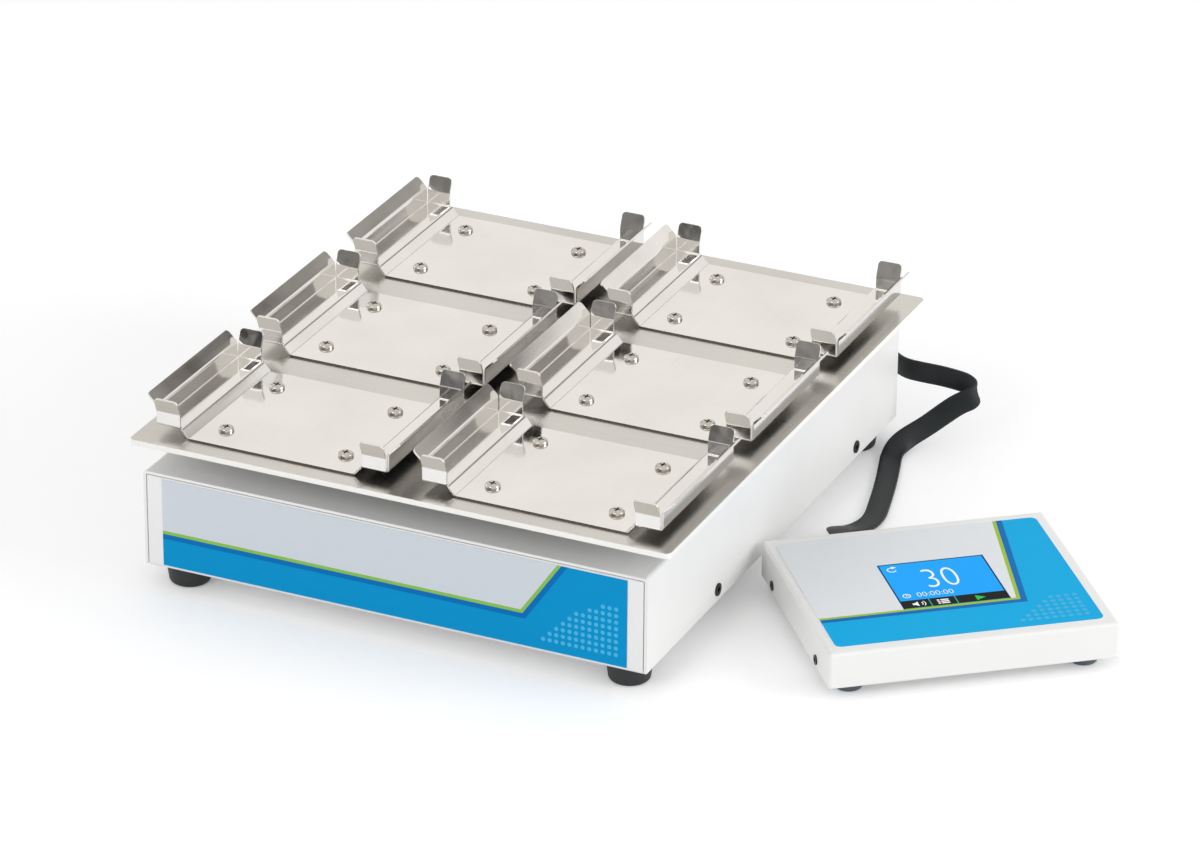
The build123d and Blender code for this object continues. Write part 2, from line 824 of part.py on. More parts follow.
# Stainless platform and the weld studs underneath
holder_screw_places = [
    (column * holder_pitch_x + sx * screw_x, row * holder_pitch_y + sy * screw_y)
    for column, row in holder_places.values() for sx in (-1, 1) for sy in (-1, 1)
]
with BuildPart() as platform_plate:
    with BuildSketch(on_platform(platform_bottom)):
        RectangleRounded(platform_width, platform_depth, platform_corner)
        with Locations(*holder_screw_places):
            Circle(screw_radius + screw_play / 2, mode=Mode.SUBTRACT)
    extrude(amount=platform_sheet)
write(platform_plate, "platform_plate")

with BuildPart() as platform_studs:
    with BuildSketch(on_platform(platform_bottom)):
        with Locations(*stud_places):
            Circle(stud_radius)
    extrude(amount=-stud_length)
write(platform_studs, "platform_studs")

with BuildPart() as platform_nuts:
    with BuildSketch(on_platform(carrier_bottom - nut_height)):
        with Locations(*stud_places):
            RegularPolygon(nut_width / 2, 6, major_radius=False)
            Circle(stud_radius, mode=Mode.SUBTRACT)
    extrude(amount=nut_height)
write(platform_nuts, "platform_nuts")

# Microplate holders: floor, ramps, shelves, flared walls and four flared tabs
shelf_bottom = shelf_height - holder_sheet
wall_face = pocket_half_x + holder_sheet
tab_face = pocket_half_y + holder_sheet
shelf_inner = pocket_half_x - shelf_width
wall_bend = shelf_height + wall_height
wall_outline = [
    (wall_face + wall_flare, wall_bend + wall_flare), (wall_face, wall_bend),
    (wall_face, shelf_bottom), (shelf_inner, shelf_bottom), (shelf_inner - ramp_run, 0),
]
tab_outline = [
    (tab_face - 6, shelf_bottom), (tab_face, shelf_bottom),
    (tab_face, shelf_bottom + tab_height),
    (tab_face + tab_lean, shelf_bottom + tab_height + tab_top),
]
for name, (column, row) in holder_places.items():
    seat = on_platform(platform_top, column * holder_pitch_x, row * holder_pitch_y)
    with BuildPart() as holder:
        with BuildSketch(Plane(origin=seat.origin, x_dir=(1, 0, 0), z_dir=(0, -1, 0))):
            with BuildLine():
                fold = FilletPolyline(*[(-x, z) for x, z in wall_outline],
                                      *reversed(wall_outline), radius=holder_bend)
                offset(fold, amount=holder_sheet, side=Side.LEFT)
            make_face()
        extrude(amount=tab_face, both=True)
        relief_low = pocket_half_x - tab_width - 0.4
        relief_high = wall_face + wall_flare + 1
        with BuildSketch(seat):
            with GridLocations(relief_low + relief_high, 2 * (tab_face - tab_relief + 3), 2, 2):
                Rectangle(relief_high - relief_low, 6)
        extrude(amount=wall_bend + wall_flare + 1, mode=Mode.SUBTRACT)
        for side_x in (-1, 1):
            for side_y in (-1, 1):
                middle = seat.origin + Vector(side_x * (pocket_half_x - tab_width / 2), 0, 0)
                with BuildSketch(Plane(origin=middle, x_dir=(0, side_y, 0), z_dir=(side_y, 0, 0))):
                    with BuildLine():
                        fold = FilletPolyline(*tab_outline, radius=holder_bend)
                        offset(fold, amount=holder_sheet, side=Side.LEFT)
                    make_face()
                extrude(amount=tab_width / 2, both=True)
        corners = holder.edges().filter_by(
            lambda e: abs(e.length - holder_sheet) < 0.02
            and e.center().Z > seat.origin.Z + wall_bend + 1)
        fillet(corners, radius=tab_corner)
        with BuildSketch(seat):
            with GridLocations(2 * screw_x, 2 * screw_y, 2, 2):
                Circle(screw_radius + screw_play)
        extrude(amount=holder_sheet, mode=Mode.SUBTRACT)
    write(holder, f"holder_{name}")

# Cross recess pan head screws that hold the holders down
with BuildPart() as one_holder_screw:
    with BuildSketch(level(0)):
        Circle(screw_head_radius)
    extrude(amount=screw_head_height)
    fillet(one_holder_screw.edges().sort_by(Axis.Z)[-1], radius=screw_head_height * 0.75)
    with BuildSketch(level(screw_head_height)):
        Rectangle(screw_head_radius, 0.9)
        Rectangle(0.9, screw_head_radius)
    extrude(amount=-1.2, mode=Mode.SUBTRACT)
    with BuildSketch(level(0)):
        Circle(screw_radius)
    extrude(amount=0.2 - holder_sheet - platform_sheet)
with BuildPart() as holder_screws:
    with Locations(*[(offset_x + x, offset_y + y, platform_top + holder_sheet)
                     for x, y in holder_screw_places]):
        add(one_holder_screw.part)
write(holder_screws, "holder_screws")

# Remote controller cover: top and four walls with soft edges, open underneath
remote_middle = (remote_width / 2, remote_depth / 2)
remote_inside = remote_top - remote_sheet
wall_inside = remote_depth - remote_sheet
remote_screw_places = [(side, v) for side in (0, 1)
                       for v in (remote_screw_front, remote_screw_rear)]


def on_remote_side(side, v, depth=0.0):
    """Plane on the left or right wall of the remote, facing out."""
    base = on_remote(remote_screw_height)
    u = remote_width - depth if side else depth
    facing = base.x_dir if side else -base.x_dir
    return Plane(origin=base.from_local_coords(Vector(u, v, 0)), x_dir=(0, 0, 1), z_dir=facing)


def on_remote_rear(u, depth=0.0):
    """Plane on the rear wall of the remote at the height of its sockets, facing out."""
    base = on_remote(rear_height)
    point = base.from_local_coords(Vector(u, remote_depth - depth, 0))
    return Plane(origin=point, x_dir=-base.x_dir, z_dir=base.y_dir)


with BuildPart() as remote_cover:
    with BuildSketch(on_remote(remote_foot_height)):
        with Locations(remote_middle):
            Rectangle(remote_width, remote_depth)
    extrude(amount=remote_top - remote_foot_height)
    soft = remote_cover.edges().filter_by(Axis.Z) + remote_cover.edges().group_by(Axis.Z)[-1]
    fillet(soft, radius=remote_edge)
    with BuildSketch(on_remote(remote_foot_height)):
        with Locations(remote_middle):
            RectangleRounded(remote_width - 2 * remote_sheet, remote_depth - 2 * remote_sheet,
                             remote_edge - remote_sheet)
    extrude(amount=remote_inside - remote_foot_height, mode=Mode.SUBTRACT)
    with BuildSketch(on_remote(remote_inside)):
        with Locations((window_u, window_v)):
            Rectangle(window_width, window_depth)
    extrude(amount=remote_sheet, mode=Mode.SUBTRACT)
    with BuildSketch(on_remote_rear(switch_u)):
        Rectangle(switch_length + 0.2, switch_height + 0.2)
    extrude(amount=-2 * remote_sheet, mode=Mode.SUBTRACT)
    with BuildSketch(on_remote_rear(jack_u)):
        Circle(jack_sleeve_radius + 0.1)
    extrude(amount=-2 * remote_sheet, mode=Mode.SUBTRACT)
    with BuildSketch(on_remote_rear(gland_u)):
        RectangleRounded(gland_tall - 3, gland_width - 2, 1.5)
    extrude(amount=-2 * remote_sheet, mode=Mode.SUBTRACT)
    for side, v in remote_screw_places:
        with BuildSketch(on_remote_side(side, v)):
            Circle(remote_screw_radius + 0.1)
        extrude(amount=-2 * remote_sheet, mode=Mode.SUBTRACT)
write(remote_cover, "remote_cover")

# Base of the remote: a plate with two turned up sides
with BuildPart() as remote_base:
    plate_width = remote_width - 2 * (remote_sheet + remote_gap)
    with BuildSketch(on_remote(remote_foot_height)):
        with Locations(remote_middle):
            Rectangle(plate_width, remote_depth - 2 * (remote_sheet + remote_gap))
    extrude(amount=remote_sheet)
    with BuildSketch(on_remote(remote_foot_height + remote_sheet)):
        with Locations(remote_middle):
            with GridLocations(plate_width - remote_sheet, 0, 2, 1):
                Rectangle(remote_sheet, remote_depth - 12)
    extrude(amount=remote_flange)
    for side, v in remote_screw_places:
        with BuildSketch(on_remote_side(side, v, remote_sheet)):
            Circle(remote_screw_radius + 0.1)
        extrude(amount=-remote_gap - 2 * remote_sheet, mode=Mode.SUBTRACT)
write(remote_base, "remote_base")

with BuildPart() as remote_screws:
    for side, v in remote_screw_places:
        with BuildSketch(on_remote_side(side, v)):
            Circle(2.6)
        extrude(amount=0.6)
        with BuildSketch(on_remote_side(side, v)):
            Circle(remote_screw_radius)
        extrude(amount=-(2 * remote_sheet + remote_gap + 1.5))
        with BuildSketch(on_remote_side(side, v, -0.6)):
            RegularPolygon(1.2, 6)
        extrude(amount=-1.0, mode=Mode.SUBTRACT)
write(remote_screws, "remote_screws")

# Printed overlay with its window, and the glass in it
with BuildPart() as remote_overlay:
    with BuildSketch(on_remote(remote_top)):
        with Locations((overlay_u, overlay_v)):
            RectangleRounded(overlay_width, overlay_depth, overlay_corner)
        with Locations((window_u, window_v)):
            Rectangle(window_width, window_depth, mode=Mode.SUBTRACT)
    extrude(amount=overlay_sheet)
write(remote_overlay, "remote_overlay")

with BuildPart() as display_glass:
    with BuildSketch(on_remote(remote_inside)):
        with Locations((window_u, window_v)):
            Rectangle(window_width - 2 * glass_play, window_depth - 2 * glass_play)
    extrude(amount=glass_sheet)
write(display_glass, "display_glass")

with BuildPart() as display_module:
    with BuildSketch(on_remote(remote_inside - module_height)):
        with Locations((window_u, window_v)):
            Rectangle(module_width, module_depth)
    extrude(amount=module_height)
write(display_module, "display_module")

# Board of the remote on its posts, with the sounder
post_base = remote_foot_height + remote_sheet
board_low = post_base + remote_board_height
board_high = board_low + remote_board_sheet
with BuildPart() as remote_board_posts:
    with BuildSketch(on_remote(post_base)):
        with Locations((remote_width / 2, remote_board_v)):
            with GridLocations(remote_board_width - 10, remote_board_depth - 10, 2, 2):
                RegularPolygon(2.8, 6)
    extrude(amount=remote_board_height)
write(remote_board_posts, "remote_board_posts")

with BuildPart() as remote_board:
    with BuildSketch(on_remote(board_low)):
        with Locations((remote_width / 2, remote_board_v)):
            RectangleRounded(remote_board_width, remote_board_depth, 2)
    extrude(amount=remote_board_sheet)
    with BuildSketch(on_remote(board_high)):
        with Locations((60, 60), (96, 48), (84, 84)):
            Rectangle(12, 12)
    extrude(amount=1.6)
write(remote_board, "remote_board")

with BuildPart() as sounder:
    with BuildSketch(on_remote(board_high)):
        with Locations((buzzer_u, buzzer_v)):
            Circle(buzzer_radius)
    extrude(amount=buzzer_height)
    with BuildSketch(on_remote(board_high + buzzer_height)):
        with Locations((buzzer_u, buzzer_v)):
            Circle(1.2)
    extrude(amount=-2, mode=Mode.SUBTRACT)
write(sounder, "sounder")

with BuildPart() as power_jack:
    with BuildSketch(on_remote_rear(jack_u, remote_sheet)):
        Rectangle(jack_width, 2 * (rear_height - board_high))
    extrude(amount=-jack_length)
    with BuildSketch(on_remote_rear(jack_u, remote_sheet)):
        Circle(jack_sleeve_radius)
    extrude(amount=remote_sheet + 0.6)
    with BuildSketch(on_remote_rear(jack_u, -0.6)):
        Circle(jack_bore_radius)
        Circle(jack_pin_radius, mode=Mode.SUBTRACT)
    extrude(amount=-9, mode=Mode.SUBTRACT)
write(power_jack, "power_jack")

# Rocker switch: body with its bezel and pocket, and the rocker on an upright pivot
pivot_v = remote_depth + bezel_sheet - rocker_pivot_depth
rocker_reach = rocker_length / 2
with BuildPart() as switch_body:
    with BuildSketch(on_remote_rear(switch_u)):
        RectangleRounded(bezel_length, bezel_width, 1.5)
    extrude(amount=bezel_sheet)
    with BuildSketch(on_remote_rear(switch_u)):
        Rectangle(switch_length, switch_height)
    extrude(amount=-switch_depth)
    with BuildSketch(on_remote(rear_height)):
        with Locations((switch_u, pivot_v)):
            Circle(rocker_reach + rocker_play)
    extrude(amount=rocker_width / 2 + rocker_play, both=True, mode=Mode.SUBTRACT)
    with BuildSketch(on_remote(rear_height)):
        with Locations((switch_u, pivot_v)):
            Circle(rocker_pivot_radius + running_gap)
    extrude(amount=rocker_width / 2 + rocker_pin + 0.1, both=True, mode=Mode.SUBTRACT)
write(switch_body, "switch_body")

with BuildPart() as power_rocker:
    pivot_plane = Plane(origin=on_remote(rear_height).from_local_coords(
        Vector(switch_u, pivot_v, 0)), x_dir=on_remote(0).x_dir.rotate(Axis.Z, rocker_tilt),
        z_dir=(0, 0, 1))
    with BuildSketch(pivot_plane):
        with BuildLine():
            left = PolarLine((0, 0), rocker_reach, 180 - rocker_lean, mode=Mode.PRIVATE) @ 1
            right = PolarLine((0, 0), rocker_reach, rocker_lean, mode=Mode.PRIVATE) @ 1
            Polyline(left, (0, 0.8), right)
            ThreePointArc(right, (0, -rocker_reach), left)
        make_face()
    extrude(amount=rocker_width / 2, both=True)
    with BuildSketch(pivot_plane):
        Circle(rocker_pivot_radius)
    extrude(amount=rocker_width / 2 + rocker_pin, both=True)
write(power_rocker, "power_rocker")

# Rubber feet of the remote
with BuildPart() as one_remote_foot:
    with BuildSketch(upright()):
        with BuildLine():
            Polyline((remote_foot_radius - 0.6, 1.5), (remote_foot_radius, remote_foot_height),
                     (0, remote_foot_height), (0, 0), (remote_foot_radius - 2.1, 0))
            RadiusArc((remote_foot_radius - 2.1, 0), (remote_foot_radius - 0.6, 1.5), -1.5)
        make_face()
    revolve(axis=Axis.Z)
remote_foot_places = [on_remote(0).from_local_coords(Vector(u, v, 0))
                      for u in (remote_foot_inset, remote_width - remote_foot_inset)
                      for v in (remote_foot_inset, remote_depth - remote_foot_inset)]
with BuildPart() as remote_feet:
    with Locations(*remote_foot_places):
        add(one_remote_foot.part)
write(remote_feet, "remote_feet")


def cable_gland(wall):
    """Flat cable gland: neck through the wall, flange inside and tapered sleeve outside."""
    with BuildPart() as gland:
        with BuildSketch(Plane.XY):
            RectangleRounded(gland_tall, gland_width, gland_width / 2 - 0.5)
        extrude(amount=gland_length, taper=2)
        for rib in (2.2, 4.2, 6.2):
            with BuildSketch(level(rib)):
                RectangleRounded(gland_tall + 1, gland_width + 1, gland_width / 2 - 1.5)
                RectangleRounded(gland_tall - 3, gland_width - 2, 1.5, mode=Mode.SUBTRACT)
            extrude(amount=0.8, mode=Mode.SUBTRACT)
        with BuildSketch(Plane.XY):
            RectangleRounded(gland_tall - 3.2, gland_width - 2.2, 1.4)
        extrude(amount=-wall)
        with BuildSketch(level(-wall)):
            RectangleRounded(gland_tall, gland_width, gland_width / 2 - 0.5)
        extrude(amount=-1.5)
    return gland.part


base_gland_part = cable_gland(sheet)
base_gland_plane = Plane(origin=(gland_x, half_d, gland_height), x_dir=(0, 0, 1),
                         z_dir=(0, 1, 0))
with BuildPart() as base_cable_gland:
    with Locations(base_gland_plane.location):
        add(base_gland_part)
write(base_cable_gland, "base_cable_gland")

remote_gland_part = cable_gland(remote_sheet)
with BuildPart() as remote_cable_gland:
    with Locations(on_remote_rear(gland_u).location):
        add(remote_gland_part)
write(remote_cable_gland, "remote_cable_gland")

# Flat cable, drawn as a plain tube of about the same section along its real route
cable_points = [
    (84.0, 172.0, 36.0), (84.0, 186.0, 36.0), (92.0, 197.0, 36.0), (105.0, 200.5, 36.0),
    (118.0, 196.0, 36.0), (130.0, 187.5, 36.0), (142.5, 180.0, 36.0), (154.0, 176.5, 35.6),
    (166.0, 175.2, 35.2), (177.5, 174.3, 34.6), (182.0, 173.2, 27.0), (177.5, 171.8, 19.4),
    (166.0, 168.0, 14.0), (156.0, 161.0, 8.5), (150.0, 150.0, 4.8), (149.0, 137.0, 3.4),
    (153.5, 122.0, 3.4), (159.5, 104.0, 3.4), (165.0, 84.0, 3.4), (168.0, 64.0, 3.4),
    (164.5, 46.0, 4.6), (160.5, 31.0, 10.0), (166.02, 19.28, 16.5), (174.01, 9.24, 16.5),
]


def cable_radii(points):
    """Largest tangent arc at each corner, from the shorter run beside it."""
    radii = []
    for before, corner, after in zip(points, points[1:], points[2:]):
        run_in = Vector(*corner) - Vector(*before)
        run_out = Vector(*after) - Vector(*corner)
        half_turn = math.radians(run_in.get_angle(run_out) / 2)
        shorter = min(run_in.length, run_out.length)
        radii.append(0.45 * shorter / math.tan(half_turn))
    return radii


with BuildPart() as flat_cable:
    with BuildLine() as route:
        FilletPolyline(*cable_points, radius=cable_radii(cable_points))
    with BuildSketch(Plane(origin=cable_points[0], z_dir=(0, 1, 0))):
        Circle(cable_radius)
    sweep()
write(flat_cable, "flat_cable")
print("cable radii", [round(r, 1) for r in cable_radii(cable_points)])
print("cable length", round(sum(edge.length for edge in route.edges()), 1),
      "volume over section", round(flat_cable.part.volume / (math.pi * cable_radius ** 2), 1))
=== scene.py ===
# Looks of the orbital microplate shaker and its wired remote. Lengths are in metres.
import math

import bmesh
import bpy
from mathutils import Matrix, Vector


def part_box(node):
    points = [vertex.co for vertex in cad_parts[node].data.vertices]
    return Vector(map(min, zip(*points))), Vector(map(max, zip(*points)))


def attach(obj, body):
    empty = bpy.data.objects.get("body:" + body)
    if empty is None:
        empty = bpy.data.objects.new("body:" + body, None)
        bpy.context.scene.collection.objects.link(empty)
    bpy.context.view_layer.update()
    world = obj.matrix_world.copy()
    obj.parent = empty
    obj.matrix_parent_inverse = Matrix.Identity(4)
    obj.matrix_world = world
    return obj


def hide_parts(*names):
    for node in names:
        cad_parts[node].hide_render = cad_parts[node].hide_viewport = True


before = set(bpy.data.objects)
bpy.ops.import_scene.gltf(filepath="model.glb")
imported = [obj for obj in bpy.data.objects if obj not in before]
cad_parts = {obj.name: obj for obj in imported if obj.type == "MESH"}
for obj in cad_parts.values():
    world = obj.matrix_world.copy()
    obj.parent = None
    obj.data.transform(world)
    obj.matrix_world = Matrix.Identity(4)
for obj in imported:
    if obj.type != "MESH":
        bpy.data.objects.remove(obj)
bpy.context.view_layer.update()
scene = bpy.context.scene
mm = 0.001


# Small helpers
def linear(hexColour):
    # sRGB hex to the linear values that shaders take
    parts = [int(hexColour[i:i + 2], 16) / 255 for i in (1, 3, 5)]
    turned = [p / 12.92 if p <= 0.04045 else ((p + 0.055) / 1.055) ** 2.4 for p in parts]
    return (*turned, 1.0)


def perMm(size):
    # texture scale for a feature of that many millimetres, on coordinates in metres
    return 1000 / size


def addNode(material, kind, settings={}, links={}):
    node = material.node_tree.nodes.new(kind)
    for key, value in settings.items():
        if isinstance(key, int) or key in node.inputs.keys():
            node.inputs[key].default_value = value
        else:
            setattr(node, key, value)
    for key, socket in links.items():
        material.node_tree.links.new(socket, node.inputs[key])
    return node


def startMaterial(name):
    material = bpy.data.materials.new(name)
    material.use_nodes = True
    material.node_tree.nodes.clear()
    return material


def endMaterial(material, shader):
    addNode(material, "ShaderNodeOutputMaterial", {}, {"Surface": shader.outputs[0]})
    return material


def dress(nodeName, material):
    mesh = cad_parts[nodeName].data
    mesh.materials.clear()
    mesh.materials.append(material)


def addPiece(name, mesh, material, body):
    piece = bpy.data.objects.new(name, mesh)
    scene.collection.objects.link(piece)
    mesh.materials.append(material)
    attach(piece, body)
    return piece


# Camera, fitted to the screws, the platform's corners and the housing's corners in the photograph
camera = {
    "focalPixels": 5875.4, "imageWidth": 1200, "sensor": 36.0,
    "azimuth": 24.514, "elevation": 25.744, "roll": 0.476,
    "distance": 3.0366, "target": (0.04165, -0.00486, 0.0613),
}


def addCamera(s):
    az, el, roll = (math.radians(s[k]) for k in ("azimuth", "elevation", "roll"))
    back = Vector((math.sin(az) * math.cos(el), -math.cos(az) * math.cos(el), math.sin(el)))
    right = Vector((math.cos(az), math.sin(az), 0))
    up = back.cross(right)
    tiltedRight = math.cos(roll) * right + math.sin(roll) * up
    tiltedUp = math.cos(roll) * up - math.sin(roll) * right
    data = bpy.data.cameras.new("camera")
    data.sensor_width = s["sensor"]
    data.sensor_fit = "HORIZONTAL"
    data.lens = s["focalPixels"] / s["imageWidth"] * s["sensor"]
    data.clip_end = 50
    view = bpy.data.objects.new("camera", data)
    place = Vector(s["target"]) + back * s["distance"]
    view.matrix_world = Matrix.Translation(place) @ Matrix(
        (tiltedRight, tiltedUp, back)).transposed().to_4x4()
    scene.collection.objects.link(view)
    scene.camera = view


addCamera(camera)
print("camera placed")

# Flat cable from the housing's gland to the remote's, 12 mm wide. Each point of its route comes with
# the way its broad side reaches: on edge behind the housing and round the fold, then flat on the bench
flatCable = {
    "width": 12 * mm, "thickness": 2.6 * mm, "length": 323.5 * mm, "edgeSteps": 5,
    "route": [
        ((84, 172, 36), (0, 0, 1)), ((84, 186, 36), (0, 0, 1)), ((92, 197, 36), (0, 0, 1)),
        ((105, 200.5, 36), (0, 0, 1)), ((117, 195, 36), (0, 0, 1)), ((128, 185.5, 35.4), (0, 0, 1)),
        ((138, 177.8, 35.2), (0, 0, 1)), ((149, 175.8, 35.8), (0, 0, 1)), ((160, 175.6, 36), (0, 0, 1)),
        ((169, 175.5, 35.4), (0, 0, 1)), ((176, 175.4, 34.6), (0, 0, 1)),
        ((182, 172.6, 32.6), (-0.2, 0, 1)),
        ((181.4, 167.6, 30), (-0.35, 0, 1)), ((174.4, 165.8, 26.4), (-0.6, 0, 1)),
        ((165, 164.6, 17.8), (-0.5, 0, 1)), ((158.5, 160, 12.2), (-0.4, 0, 1)),
        ((151.5, 152.8, 7.8), (-0.6, -0.1, 0.8)), ((147.4, 146, 4.2), (-0.9, 0, 0.4)),
        ((147.6, 138, 1.7), (-1, -0.05, 0)), ((150.6, 129, 1.6), (-1, -0.3, 0)),
        ((157, 108, 1.6), (-1, -0.3, 0)), ((163, 85, 1.6), (-1, -0.25, 0)),
        ((168, 64, 1.6), (-1, -0.1, 0)), ((165.5, 46, 3.4), (-1, 0.1, 0)), ((161, 31, 9.6), (-1, 0, 0)),
        ((166.02, 19.28, 16.5), (-0.85, -0.5, 0)), ((174.01, 9.24, 16.5), (-0.78, -0.62, 0))],
}


def cablePath(route):
    # smooth line along the route's control points, as a list of places
    curve = bpy.data.curves.new("cableRoute", "CURVE")
    curve.dimensions = "3D"
    curve.resolution_u = 8
    spline = curve.splines.new("NURBS")
    spline.points.add(len(route) - 1)
    for point, (place, side) in zip(spline.points, route):
        point.co = (*(c * mm for c in place), 1)
    spline.order_u = 3
    spline.use_endpoint_u = True
    holder = bpy.data.objects.new("cableRoute", curve)
    scene.collection.objects.link(holder)
    line = bpy.data.meshes.new_from_object(holder)
    places = [v.co.copy() for v in line.vertices]
    bpy.data.objects.remove(holder)
    return places


def ribbonMesh(s):
    path = cablePath(s["route"])
    sides = [Vector(side) for place, side in s["route"]]
    last = len(path) - 1
    halfWidth = s["width"] / 2 - s["thickness"] / 2
    outline = []
    for end in (1, -1):
        for i in range(s["edgeSteps"] + 1):
            turn = math.pi * (i / s["edgeSteps"] - 0.5)
            outline.append((end * (halfWidth + math.cos(turn) * s["thickness"] / 2),
                            end * math.sin(turn) * s["thickness"] / 2))
    build = bmesh.new()
    rings = []
    for i, place in enumerate(path):
        along = (path[min(i + 1, last)] - path[max(i - 1, 0)]).normalized()
        at = i / last * (len(sides) - 1)
        low = min(int(at), len(sides) - 2)
        side = sides[low].lerp(sides[low + 1], at - low)
        side = (side - along * side.dot(along)).normalized()
        across = along.cross(side)
        rings.append([build.verts.new(place + side * u + across * v) for u, v in outline])
    for first, second in zip(rings, rings[1:]):
        for k in range(len(outline)):
            n = (k + 1) % len(outline)
            build.faces.new((first[k], first[n], second[n], second[k]))
    build.faces.new(list(reversed(rings[0])))
    build.faces.new(rings[-1])
    bmesh.ops.recalc_face_normals(build, faces=build.faces)
    mesh = bpy.data.meshes.new("flatCableRibbon")
    build.to_mesh(mesh)
    for face in mesh.polygons:
        face.use_smooth = True
    return mesh, path


# Materials
# edge is a lighter white painted along the bevelled edges as a highlight
powderCoatValues = {"white": "#F1F1F0", "shade": "#E9E9E8", "edge": "#FAFAFA", "peelMm": 1.8}


def powderCoat():
    # polyester powder coat on steel sheet, sprayed and baked: satin white, faint orange peel
    s = powderCoatValues
    m = startMaterial("polyesterPowderCoatSprayed")
    coords = addNode(m, "ShaderNodeTexCoord").outputs["Object"]
    drift = addNode(m, "ShaderNodeTexNoise", {"Scale": perMm(60), "Detail": 2.0}, {"Vector": coords})
    peel = addNode(m, "ShaderNodeTexNoise", {"Scale": perMm(s["peelMm"]), "Detail": 1.0},
                   {"Vector": coords})
    bevel = addNode(m, "ShaderNodeBevel", {"samples": 4, "Radius": 0.5 * mm})
    trueNormal = addNode(m, "ShaderNodeNewGeometry").outputs["True Normal"]
    facing = addNode(m, "ShaderNodeVectorMath", {"operation": "DOT_PRODUCT"},
                     {0: bevel.outputs[0], 1: trueNormal})
    edge = addNode(m, "ShaderNodeMapRange", {"From Min": 0.99, "From Max": 0.8},
                   {"Value": facing.outputs["Value"]})
    tone = addNode(m, "ShaderNodeMix", {"data_type": "RGBA", 6: linear(s["white"]),
                                        7: linear(s["shade"])}, {0: drift.outputs["Fac"]})
    # painted highlight: the bevelled edges take the lighter edge white
    paintedEdgeHighlight = addNode(m, "ShaderNodeMix", {"data_type": "RGBA", 7: linear(s["edge"])},
                   {0: edge.outputs[0], 6: tone.outputs[2]})
    rough = addNode(m, "ShaderNodeMapRange", {"To Min": 0.38, "To Max": 0.52},
                    {"Value": drift.outputs["Fac"]})
    bump = addNode(m, "ShaderNodeBump", {"Strength": 0.18, "Distance": 0.05 * mm},
                   {"Height": peel.outputs["Fac"], "Normal": bevel.outputs[0]})
    shader = addNode(m, "ShaderNodeBsdfPrincipled", {"IOR": 1.5},
                     {"Base Color": paintedEdgeHighlight.outputs[2], "Roughness": rough.outputs[0],
                      "Normal": bump.outputs[0]})
    return endMaterial(m, shader)


def sheetSteel(name, s):
    # stainless sheet, rolled and then brushed or polished: warm white that mirrors its surroundings in
    # streaks along the bends; its lowest upright edges are rougher and carry painted light, a painted
    # highlight on the brushed plate and a painted shade line on the polished holders
    m = startMaterial(name)
    coords = addNode(m, "ShaderNodeTexCoord").outputs["Object"]
    stretch = addNode(m, "ShaderNodeMapping", {"Scale": s["grainStretch"]}, {"Vector": coords})
    grain = addNode(m, "ShaderNodeTexNoise",
                    {"Scale": perMm(s["grainMm"]), "Detail": 3.0, "Roughness": 0.6},
                    {"Vector": stretch.outputs[0]})
    cloud = addNode(m, "ShaderNodeTexNoise", {"Scale": perMm(s["cloudMm"]), "Detail": 3.0},
                    {"Vector": coords})
    bevel = addNode(m, "ShaderNodeBevel", {"samples": 4, "Radius": s["edgeRadius"] * mm})
    tone = addNode(m, "ShaderNodeMix", {"data_type": "RGBA", 6: linear(s["light"]),
                                        7: linear(s["dark"])}, {0: cloud.outputs["Fac"]})
    streak = addNode(m, "ShaderNodeMix", {"data_type": "RGBA", "blend_type": "MULTIPLY", 0: s["streak"]},
                     {6: tone.outputs[2], 7: grain.outputs["Fac"]})
    height = addNode(m, "ShaderNodeSeparateXYZ", {}, {0: coords})
    # painted light on the lowest upright faces: a painted highlight on the brushed plate, a painted shade
    # line on the polished holders
    low = addNode(m, "ShaderNodeMath", {"operation": "LESS_THAN", 1: s["paintedEdgeBelow"] * mm},
                  {0: height.outputs["Z"]})
    trueNormal = addNode(m, "ShaderNodeNewGeometry").outputs["True Normal"]
    facing = addNode(m, "ShaderNodeSeparateXYZ", {}, {0: trueNormal})
    flatness = addNode(m, "ShaderNodeMath", {"operation": "ABSOLUTE"}, {0: facing.outputs["Z"]})
    upright = addNode(m, "ShaderNodeMath", {"operation": "LESS_THAN", 1: 0.5}, {0: flatness.outputs[0]})
    paintedEdgeShading = addNode(m, "ShaderNodeMath", {"operation": "MULTIPLY"},
                      {0: low.outputs[0], 1: upright.outputs[0]})
    paintedEdgeColour = addNode(m, "ShaderNodeMix", {"data_type": "RGBA", 7: linear(s["paintedEdgeShading"])},
                  {0: paintedEdgeShading.outputs[0], 6: streak.outputs[2]})
    polish = addNode(m, "ShaderNodeMapRange",
                     {"From Min": 0.3, "From Max": 0.7, "To Min": s["rough"][0], "To Max": s["rough"][1]},
                     {"Value": cloud.outputs["Fac"]})
    dull = addNode(m, "ShaderNodeMath", {"operation": "MULTIPLY_ADD", 1: 0.4},
                   {0: paintedEdgeShading.outputs[0], 2: polish.outputs[0]})
    bands = addNode(m, "ShaderNodeMapping", {"Scale": s["waveStretch"]}, {"Vector": coords})
    wave = addNode(m, "ShaderNodeTexNoise", {"Scale": perMm(s["waveMm"]), "Detail": 1.0},
                   {"Vector": bands.outputs[0]})
    waveBump = addNode(m, "ShaderNodeBump", {"Strength": s["waveStrength"], "Distance": 0.3 * mm},
                       {"Height": wave.outputs["Fac"], "Normal": bevel.outputs[0]})
    bump = addNode(m, "ShaderNodeBump", {"Strength": s["grainStrength"], "Distance": 0.02 * mm},
                   {"Height": grain.outputs["Fac"], "Normal": waveBump.outputs[0]})
    shader = addNode(m, "ShaderNodeBsdfPrincipled", {"Metallic": 1.0},
                     {"Base Color": paintedEdgeColour.outputs[2], "Roughness": dull.outputs[0],
                      "Normal": bump.outputs[0]})
    return endMaterial(m, shader)
